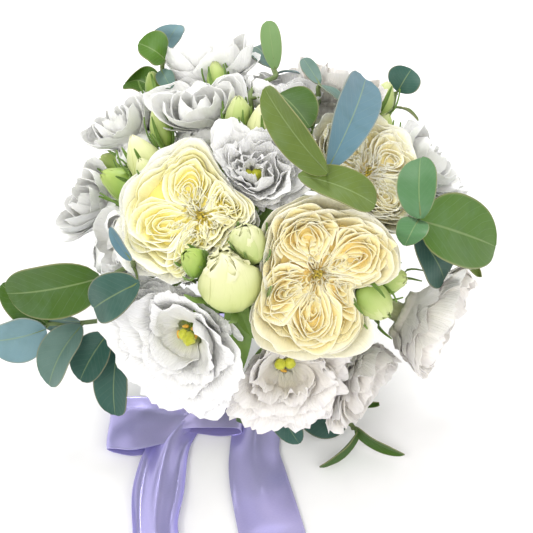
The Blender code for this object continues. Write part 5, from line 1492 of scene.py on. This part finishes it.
def build_knot(looks):
    """The knot on the band, under the stems."""
    knot, back = Pile(), WRAP_BACKS[1]
    centre = MIDDLE - back * AXIS - ((bundle_radius(back) + SEAT) / math.cos(math.pi / 16) + 5.9) * SIDE
    turn = np.linspace(0, 2 * math.pi, 41)[:, None]
    level = np.linspace(-1, 1, 17)[None, :]
    fold = 1 + 0.05 * np.cos(3 * turn + 2.4 * level) + 0.05 * np.cos(7 * level + turn)
    round_off = np.sqrt(1 - 0.86 * level**2)
    x = 7.6 * fold * np.cos(turn) * round_off
    y = 6.0 * fold * np.sin(turn) * round_off
    shape = np.stack([x, y, 4.9 * level + 0 * turn], -1) @ np.array([RIGHT, -AXIS, SIDE])
    knot.sheet(centre + shape, 0.5, level, np.cos(turn), 0.4)
    return knot.piece("ribbon_knot", looks["ribbon"], "ribbon")


def build_tie(looks):
    """The short wrap round the middle of the bow."""
    tie = Pile()
    t, b = grid_of(49, 15)
    turn = math.pi * (1.12 * t * 2 - 1.12)
    gather = 1 + 0.10 * np.cos(9 * b + 2 * t)
    x = BOW_X + (5.4 + 0.5 * b**2) * gather * np.sin(turn)
    y = -55 + 6.0 * b + 0.8 * np.sin(turn)
    z = np.maximum(3.2 + (3.6 + 0.5 * b**2) * gather * np.cos(turn), 0.35)
    tie.sheet(np.stack([x, y, z], -1), 0.4, t, b, 0.5)
    return tie.piece("ribbon_bow_tie", looks["ribbon"], "ribbon")


def build_end(looks, name, node, strand, phase, rise, tone):
    """One end of the ribbon, on the surface."""
    end = Pile()
    t, b = grid_of(110, 31)
    line = through(strand, t.size)
    line[:, 2:] = np.maximum(line[:, 2:], [0.45, 1, 0])
    end.sheet(pleated(line, b.size, phase, rise), SATIN_THICK, t, b, tone)
    return end.piece(name, looks["ribbon"], "ribbon", node)


def build_loop(looks, side, controls, tone, phase):
    """One loop of the bow, pinched at the tie."""
    loop = Pile()
    t, b = grid_of(70, 25)
    line = through(controls, t.size)
    pinched = np.exp(-((np.abs(line[:, :1] - BOW_X) / 13.0) ** 2))
    grid = line[:, None, :3] + (b * line[:, 3:4])[..., None] * np.array([0.0, 1.0, 0.0])
    upper = np.clip((line[:, 2:3] - 3.0) / 4.0, 0, 1)
    crease = pinched * 1.5 * np.cos(LOOP_PLEATS * math.pi * b + phase)
    crease = crease + 1.5 * np.sin(1.9 * b + 2.4 * t + phase) * upper
    grid[..., 2] = np.maximum(grid[..., 2] + crease * (0.25 + 0.75 * upper), 0.7)
    grid[..., 0] += 1.2 * np.sin(2.6 * b + phase) * (1 - pinched) * upper
    loop.sheet(grid, SATIN_THICK, t, b, tone)
    return loop.piece(f"ribbon_{side}_loop", looks["ribbon"], "ribbon")


def build_ribbon(looks):
    """The satin: a band round the stems with its knot, two ends on the surface, and a flat bow on them."""
    band = build_band(looks)
    knot, tie = build_knot(looks), build_tie(looks)
    # each end's last number and each loop's number after its controls are tones, which set the painted shade
    # of that piece's satin
    left = build_end(looks, "ribbon_left_end", "ribbon_left_end_and_bow", LEFT_STRAND, 0.8, 3.2, 0.0)
    right = build_end(looks, "ribbon_right_end_satin", "ribbon_right_end", RIGHT_STRAND, -0.6, 2.6, 0.2)
    left_loop = build_loop(looks, "left", LEFT_LOOP, 0.1, 0.5)
    right_loop = build_loop(looks, "right", RIGHT_LOOP, 0.6, 2.0)


# Materials


class Look:
    """A material's nodes while they are put together."""

    def __init__(self, name, **settings):
        self.material = bpy.data.materials.new(name)
        self.material.use_nodes = True
        self.nodes, self.links = self.material.node_tree.nodes, self.material.node_tree.links
        self.shader = self.nodes["Principled BSDF"]
        for socket, value in settings.items():
            self.shader.inputs[socket.replace("_", " ")].default_value = value

    def node(self, kind, inputs=(), **settings):
        made = self.nodes.new(kind)
        for key, value in settings.items():
            setattr(made, key, value)
        for socket, value in dict(inputs).items():
            if isinstance(value, bpy.types.NodeSocket):
                self.links.new(value, made.inputs[socket])
            else:
                made.inputs[socket].default_value = value
        return made

    def mark(self, name):
        """One of the piece's own numbers."""
        return self.node("ShaderNodeAttribute", attribute_name=name).outputs["Fac"]

    def math(self, operation, a, b=0.0, clamp=False):
        return self.node("ShaderNodeMath", {0: a, 1: b}, operation=operation, use_clamp=clamp).outputs[0]

    def fit(self, value, low, high, out_low=0.0, out_high=1.0):
        """A value taken from one range to another, smoothly and without going over."""
        found = self.node("ShaderNodeMapRange", {0: value, 1: low, 2: high, 3: out_low, 4: out_high},
                          interpolation_type="SMOOTHSTEP")
        return found.outputs[0]

    def mix(self, factor, a, b, how="MIX"):
        made = self.node("ShaderNodeMix", data_type="RGBA", blend_type=how)
        for socket, value in ((0, factor), (6, a), (7, b)):
            if isinstance(value, bpy.types.NodeSocket):
                self.links.new(value, made.inputs[socket])
            else:
                made.inputs[socket].default_value = value if socket == 0 else (*value, 1)
        return made.outputs[2]

    def drifted(self, value, cloud, most):
        """A value that clouds of noise push up or down."""
        return self.math("ADD", value, self.math("MULTIPLY", self.math("SUBTRACT", cloud, 0.5), most))

    def streaks(self, across, along, many, long, apart=0.0, detail=2.0, rough=0.6):
        """Noise drawn out into lines."""
        ways = {0: self.math("MULTIPLY", across, many), 1: self.math("MULTIPLY", along, long), 2: apart}
        return self.noise(1.0, detail, self.node("ShaderNodeCombineXYZ", ways).outputs[0], rough)

    def ramp(self, value, stops):
        """Colour by a value, from stops of position, red, green and blue."""
        made = self.node("ShaderNodeValToRGB", {0: value})
        elements = made.color_ramp.elements
        while len(elements) < len(stops):
            elements.new(0.5)
        for element, (position, *colour) in zip(elements, stops):
            element.position, element.color = position, (*colour, 1)
        return made.outputs[0]

    def noise(self, scale, detail=3.0, vector=None, rough=0.5):
        place = vector or self.node("ShaderNodeTexCoord").outputs["Object"]
        inputs = {"Vector": place, "Scale": scale, "Detail": detail, "Roughness": rough}
        return self.node("ShaderNodeTexNoise", inputs).outputs[0]

    def bump(self, height, strength, distance, under=None):
        inputs = {"Height": height, "Strength": strength, "Distance": distance}
        if under is not None:
            inputs["Normal"] = under
        return self.node("ShaderNodeBump", inputs).outputs[0]

    def finish(self, colour, bump=None, rough=None, share=0.0):
        """Joins colour, bump and roughness to the shader, and lets a share of the light through."""
        self.links.new(colour, self.shader.inputs["Base Color"])
        if bump is not None:
            self.links.new(bump, self.shader.inputs["Normal"])
        if rough is not None:
            self.links.new(rough, self.shader.inputs["Roughness"])
        if share:
            glow = self.node("ShaderNodeBsdfTranslucent", {"Color": colour})
            both = self.node("ShaderNodeMixShader", {0: share, 1: self.shader.outputs[0], 2: glow.outputs[0]})
            self.links.new(both.outputs[0], self.nodes["Material Output"].inputs["Surface"])
        return self.material


# Petals' looks: colours from base to rim for inner tones and for outer ones, the share of light that goes
# through, and how deep the pleats are
PETAL_LOOKS = {
    "yellow_rose": (
        [(0, 0.98, 0.78, 0.14), (0.5, 0.98, 0.87, 0.28), (0.88, 0.99, 0.93, 0.48), (1, 0.99, 0.97, 0.76)],
        [(0, 0.96, 0.88, 0.46), (0.5, 0.98, 0.96, 0.76), (0.9, 0.98, 0.98, 0.89), (1, 0.99, 0.99, 0.96)],
        0.12, 0.35,
    ),
    "cream_rose": (
        [(0, 0.96, 0.66, 0.18), (0.5, 0.96, 0.78, 0.32), (0.88, 0.97, 0.86, 0.47), (1, 0.98, 0.93, 0.7)],
        [(0, 0.92, 0.84, 0.48), (0.5, 0.95, 0.9, 0.62), (0.9, 0.96, 0.93, 0.76), (1, 0.98, 0.96, 0.86)],
        0.12, 0.35,
    ),
    # the third rose's colours: the cream rose's made greyer and less saturated, a painted shade
    "shaded_rose": (
        [(0, 0.94, 0.74, 0.3), (0.45, 0.95, 0.84, 0.46), (0.85, 0.97, 0.91, 0.62), (1, 0.98, 0.96, 0.82)],
        [(0, 0.88, 0.83, 0.52), (0.5, 0.93, 0.9, 0.7), (0.9, 0.95, 0.94, 0.82), (1, 0.97, 0.96, 0.88)],
        0.12, 0.35,
    ),
    "pure_white": (
        [
            (0, 0.22, 0.34, 0.02), (0.2, 0.42, 0.52, 0.1), (0.32, 0.86, 0.89, 0.64),
            (0.44, 0.97, 0.975, 0.92), (1, 0.985, 0.985, 0.985),
        ],
        [
            (0, 0.3, 0.42, 0.06), (0.2, 0.6, 0.68, 0.26), (0.34, 0.93, 0.945, 0.82),
            (0.48, 0.98, 0.98, 0.97), (1, 0.985, 0.985, 0.985),
        ],
        0.1, 0.6,
    ),
    "warm_white": (
        [(0, 0.4, 0.48, 0.12), (0.25, 0.78, 0.79, 0.56), (0.5, 0.94, 0.885, 0.8), (1, 0.98, 0.95, 0.92)],
        [(0, 0.72, 0.78, 0.38), (0.25, 0.85, 0.84, 0.7), (0.5, 0.95, 0.9, 0.845), (1, 0.975, 0.94, 0.91)],
        0.1, 0.6,
    ),
    "cup_white": (
        [(0, 0.6, 0.68, 0.28), (0.35, 0.88, 0.9, 0.7), (0.7, 0.975, 0.98, 0.94), (1, 0.985, 0.99, 0.98)],
        [(0, 0.72, 0.78, 0.38), (0.3, 0.92, 0.93, 0.82), (0.6, 0.98, 0.985, 0.97), (1, 0.985, 0.985, 0.985)],
        0.1, 0.3,
    ),
}


def petal_look(name, inner, outer, share, pleat):
    """Petals: one colour ramp from base to rim for inner tones and one for outer, fine pleats, and painted
    shade that darkens the pleats' hollows.
    """
    look = Look(name, Roughness=0.52, Sheen_Weight=0.25, Sheen_Roughness=0.5, Specular_IOR_Level=0.35,
                Subsurface_Weight=0.4, Subsurface_Scale=0.0005, Subsurface_Radius=(1.0, 1.0, 0.9))
    along, across, tone = look.mark("along"), look.mark("across"), look.mark("tone")
    cloud = look.noise(55.0, 3.0)
    shifted = look.drifted(along, cloud, 0.22)
    inside, outside = look.ramp(shifted, inner), look.ramp(shifted, outer)
    colour = look.mix(look.fit(tone, 0.1, 0.95), inside, outside)
    depth = look.fit(look.streaks(across, along, 34.0, 3.0, tone), 0.36, 0.64)
    # painted shade: the colour is darkened a little by (0.88, 0.86, 0.78) where the pleats' bump is low
    pleat_hollow_shade = look.math("MULTIPLY", look.math("SUBTRACT", 1.0, depth), 0.10)
    shade = look.mix(pleat_hollow_shade, colour, (0.88, 0.86, 0.78), "MULTIPLY")
    fine = look.noise(900.0, 2.0)
    bump = look.bump(fine, 0.10, 0.0003)
    bump = look.bump(depth, pleat, 0.0006, bump)
    rough = look.fit(cloud, 0.2, 0.8, 0.44, 0.60)
    return look.finish(shade, bump, rough, share)


def leaf_look():
    """Eucalyptus: waxy bloom over each leaf's own green, a pale rib, side veins and a thin warm edge."""
    look = Look("eucalyptus", Roughness=0.5, Sheen_Weight=0.06, Sheen_Roughness=0.4, Specular_IOR_Level=0.3)
    along, across = look.mark("along"), look.mark("across")
    tint = look.node("ShaderNodeAttribute", attribute_name="tint").outputs["Color"]
    aside = look.math("ABSOLUTE", across)
    cloud = look.noise(38.0, 4.0, None, 0.62)
    waxy = look.mix(look.fit(cloud, 0.42, 0.72, 0.0, 0.10), tint, (0.34, 0.46, 0.42))
    spots = look.fit(look.noise(90.0, 2.0), 0.45, 0.75, 0.0, 0.25)
    darker = look.mix(spots, waxy, (0.55, 0.62, 0.50), "MULTIPLY")
    run = look.math("SUBTRACT", look.math("MULTIPLY", along, 9.0), look.math("MULTIPLY", aside, 2.6))
    run = look.math("ADD", run, look.math("MULTIPLY", look.noise(70.0, 1.0), 0.5))
    comb = look.math("PINGPONG", run, 0.5)
    vein = look.fit(comb, 0.0, 0.055, 1.0, 0.0)
    rib = look.fit(aside, 0.012, 0.05, 1.0, 0.0)
    edge = look.fit(aside, 0.93, 0.995)
    colour = look.mix(look.math("MULTIPLY", vein, 0.10), darker, (0.30, 0.42, 0.26))
    colour = look.mix(look.math("MULTIPLY", rib, 0.40), colour, (0.32, 0.42, 0.18))
    colour = look.mix(look.math("MULTIPLY", edge, 0.40), colour, (0.42, 0.36, 0.20))
    height = look.math("ADD", look.math("MULTIPLY", vein, -0.35), look.math("MULTIPLY", rib, 0.8))
    bump = look.bump(look.noise(420.0, 2.0), 0.08, 0.0004)
    bump = look.bump(height, 0.35, 0.0006, bump)
    rough = look.fit(cloud, 0.3, 0.7, 0.42, 0.62)
    return look.finish(colour, bump, rough, 0.10)


def greens_look():
    """Stems, sepals and buds: tone runs from leafy green to the pale tips of the buds."""
    look = Look("stems_and_buds", Roughness=0.45, Sheen_Weight=0.1, Specular_IOR_Level=0.4)
    along, across, tone = look.mark("along"), look.mark("across"), look.mark("tone")
    cloud = look.noise(80.0, 3.0)
    stem = look.ramp(cloud, [(0.3, 0.10, 0.19, 0.03), (0.6, 0.17, 0.29, 0.05), (0.8, 0.24, 0.36, 0.09)])
    shifted = look.drifted(along, cloud, 0.25)
    dark_bud = look.ramp(shifted, [(0.0, 0.13, 0.27, 0.02), (0.5, 0.22, 0.38, 0.04), (1.0, 0.40, 0.52, 0.12)])
    pale_bud = look.ramp(shifted, [
        (0.0, 0.42, 0.52, 0.12), (0.5, 0.60, 0.65, 0.27), (0.85, 0.72, 0.73, 0.40), (1.0, 0.84, 0.82, 0.56),
    ])
    bud = look.mix(look.fit(tone, 0.28, 0.75), dark_bud, pale_bud)
    colour = look.mix(look.fit(tone, 0.12, 0.24), stem, bud)
    cut = look.ramp(cloud, [(0.3, 0.55, 0.60, 0.33), (0.7, 0.72, 0.74, 0.50)])
    colour = look.mix(look.fit(tone, 0.93, 0.99), colour, cut)
    stripes = look.streaks(across, along, 40.0, 4.0)
    shade = look.mix(look.fit(stripes, 0.55, 0.75, 0.0, 0.20), colour, (0.60, 0.66, 0.40), "MULTIPLY")
    bump = look.bump(stripes, 0.25, 0.0005, look.bump(look.noise(500.0, 2.0), 0.08, 0.0003))
    return look.finish(shade, bump, look.fit(cloud, 0.3, 0.7, 0.38, 0.52), 0.08)


def stamen_look():
    look = Look("stamens", Roughness=0.6, Sheen_Weight=0.2)
    tone, grain = look.mark("tone"), look.noise(600.0, 3.0)
    thread = look.ramp(grain, [(0.3, 0.42, 0.46, 0.10), (0.7, 0.62, 0.62, 0.20)])
    head = look.ramp(grain, [(0.35, 0.26, 0.20, 0.02), (0.55, 0.60, 0.46, 0.04), (0.75, 0.78, 0.66, 0.14)])
    colour = look.mix(look.fit(tone, 0.4, 0.6), thread, head)
    return look.finish(colour, look.bump(grain, 0.5, 0.0004))


def heart_look():
    """Middle of a lisianthus: green ovary, yellow-green stigma lobes and orange-yellow anthers."""
    look = Look("lisianthus_heart", Roughness=0.45, Sheen_Weight=0.2)
    tone, grain = look.mark("tone"), look.noise(420.0, 3.0)
    ovary = look.ramp(grain, [(0.3, 0.14, 0.24, 0.01), (0.7, 0.26, 0.38, 0.03)])
    stigma = look.ramp(grain, [(0.3, 0.38, 0.42, 0.01), (0.7, 0.60, 0.60, 0.04)])
    anther = look.ramp(grain, [(0.3, 0.62, 0.30, 0.02), (0.7, 0.82, 0.52, 0.06)])
    colour = look.mix(look.fit(tone, 0.35, 0.5), ovary, stigma)
    colour = look.mix(look.fit(tone, 0.8, 0.9), colour, anther)
    return look.finish(colour, look.bump(grain, 0.4, 0.0004))


def satin_look():
    """Lavender satin: long soft gloss across a fine weave, a firmer selvedge along each edge, and painted
    shade that dulls some pieces more than others.
    """
    look = Look("lavender_satin", Metallic=0.5, Roughness=0.22, Sheen_Weight=0.25, Sheen_Roughness=0.35,
                Specular_IOR_Level=0.7, Anisotropic=0.5)
    look.shader.inputs["Sheen Tint"].default_value = (0.80, 0.80, 1.0, 1)
    along, across, tone = look.mark("along"), look.mark("across"), look.mark("tone")
    cloud = look.noise(22.0, 2.0)
    base = look.ramp(cloud, [(0.3, 0.43, 0.40, 0.76), (0.7, 0.50, 0.47, 0.82)])
    # painted shade: a piece's tone mixes in up to half of a duller, darker lavender; the right loop takes the
    # most, then the tie, the knot and the band
    colour = look.mix(look.fit(tone, 0.0, 1.0, 0.0, 0.5), base, (0.48, 0.42, 0.68))
    edge = look.fit(look.math("ABSOLUTE", across), 0.93, 0.97)
    colour = look.mix(look.math("MULTIPLY", edge, 0.25), colour, (0.62, 0.60, 0.92))
    weave = look.streaks(across, along, 9.0, 900.0, 0.0, 1.0, 0.5)
    colour = look.mix(look.fit(weave, 0.4, 0.7, 0.0, 0.10), colour, (0.70, 0.68, 1.0))
    bump = look.bump(weave, 0.12, 0.00025)
    bump = look.bump(edge, 0.3, 0.0002, bump)
    return look.finish(colour, bump, look.fit(cloud, 0.3, 0.7, 0.20, 0.27))


def make_looks():
    """Every material, by name."""
    looks = {name: petal_look(f"{name}_petals", *values) for name, values in PETAL_LOOKS.items()}
    looks["leaves"] = leaf_look()
    looks["greens"] = greens_look()
    looks["stamens"] = stamen_look()
    looks["heart"] = heart_look()
    looks["ribbon"] = satin_look()
    return looks


# Stage, light and camera


def build_stage():
    """Pale floor, soft studio light, and the camera where the photograph was taken from."""
    mesh = bpy.data.meshes.new("pale_floor")
    mesh.from_pydata([(x, y, 0.0) for x, y in ((-4, -4), (4, -4), (4, 4), (-4, 4))], [], [(0, 1, 2, 3)])
    floor = bpy.data.objects.new("pale_floor", mesh)
    bpy.context.scene.collection.objects.link(floor)
    look = Look("pale_floor", Roughness=0.8)
    grain = look.noise(30.0, 2.0)
    mesh.materials.append(look.finish(look.ramp(grain, [(0.3, 0.86, 0.86, 0.87), (0.7, 0.90, 0.90, 0.91)])))
    world = bpy.data.worlds.new("studio")
    world.use_nodes = True
    background = world.node_tree.nodes["Background"]
    background.inputs["Color"].default_value = (1.0, 0.985, 0.965, 1)
    background.inputs["Strength"].default_value = WORLD_LIGHT
    bpy.context.scene.world = world
    for name, place, size, power, tint in LIGHTS:
        lamp = bpy.data.lights.new(name, "AREA")
        lamp.size, lamp.energy, lamp.color = size, power, tint
        made = bpy.data.objects.new(name, lamp)
        bpy.context.scene.collection.objects.link(made)
        made.location = place
        away = Vector(place) - Vector(tuple((MIDDLE - ORIGIN) * MM))
        made.rotation_euler = away.to_track_quat("Z", "Y").to_euler()
    bpy.context.scene.view_settings.view_transform = "Standard"
    camera = bpy.data.objects.new("camera", bpy.data.cameras.new("camera"))
    bpy.context.scene.collection.objects.link(camera)
    target = (MIDDLE + VIEW_SHIFT[0] * RIGHT + VIEW_SHIFT[1] * UP - ORIGIN) * MM
    camera.location = Vector(tuple(target + CAMERA_AWAY * FACE))
    camera.rotation_euler = Vector(tuple(FACE)).to_track_quat("Z", "Y").to_euler()
    camera.data.sensor_width = SENSOR_WIDE
    camera.data.lens = SENSOR_WIDE * CAMERA_AWAY / (VIEW_WIDE * MM)
    camera.data.clip_end = 50.0
    bpy.context.scene.camera = camera


def build():
    """Every piece: the leaves first, since the flowers' room depends on what they cover."""
    looks = make_looks()
    flowers, plants, slots, branches, cloth = lay_out()
    covers = []
    for plant, ((name, names), slot) in enumerate(zip(plants, slots)):
        if names is None:
            build_leaves(name, plant, slot, flowers, branches, cloth, covers, looks)
    open_room(flowers, branches, cloth, covers)
    for number in ROSES:
        build_rose(number, flowers[f"rose_{number}"], looks)
    for number in OPENS:
        build_open(number, flowers[f"open_{number}"], looks)
    for number in CUPS:
        build_cup(number, flowers[f"cup_{number}"], looks)
    for plant, ((name, names), slot) in enumerate(zip(plants, slots)):
        if names is not None:
            build_plant(name, plant, slot, names, flowers, branches, looks)
    build_ribbon(looks)


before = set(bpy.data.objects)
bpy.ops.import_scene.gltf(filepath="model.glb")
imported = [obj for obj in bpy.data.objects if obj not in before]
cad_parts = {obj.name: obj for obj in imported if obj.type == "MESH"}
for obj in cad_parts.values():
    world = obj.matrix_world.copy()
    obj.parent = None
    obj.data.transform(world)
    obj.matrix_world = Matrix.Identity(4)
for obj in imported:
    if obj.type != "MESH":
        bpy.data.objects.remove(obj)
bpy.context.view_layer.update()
build_stage()
build()
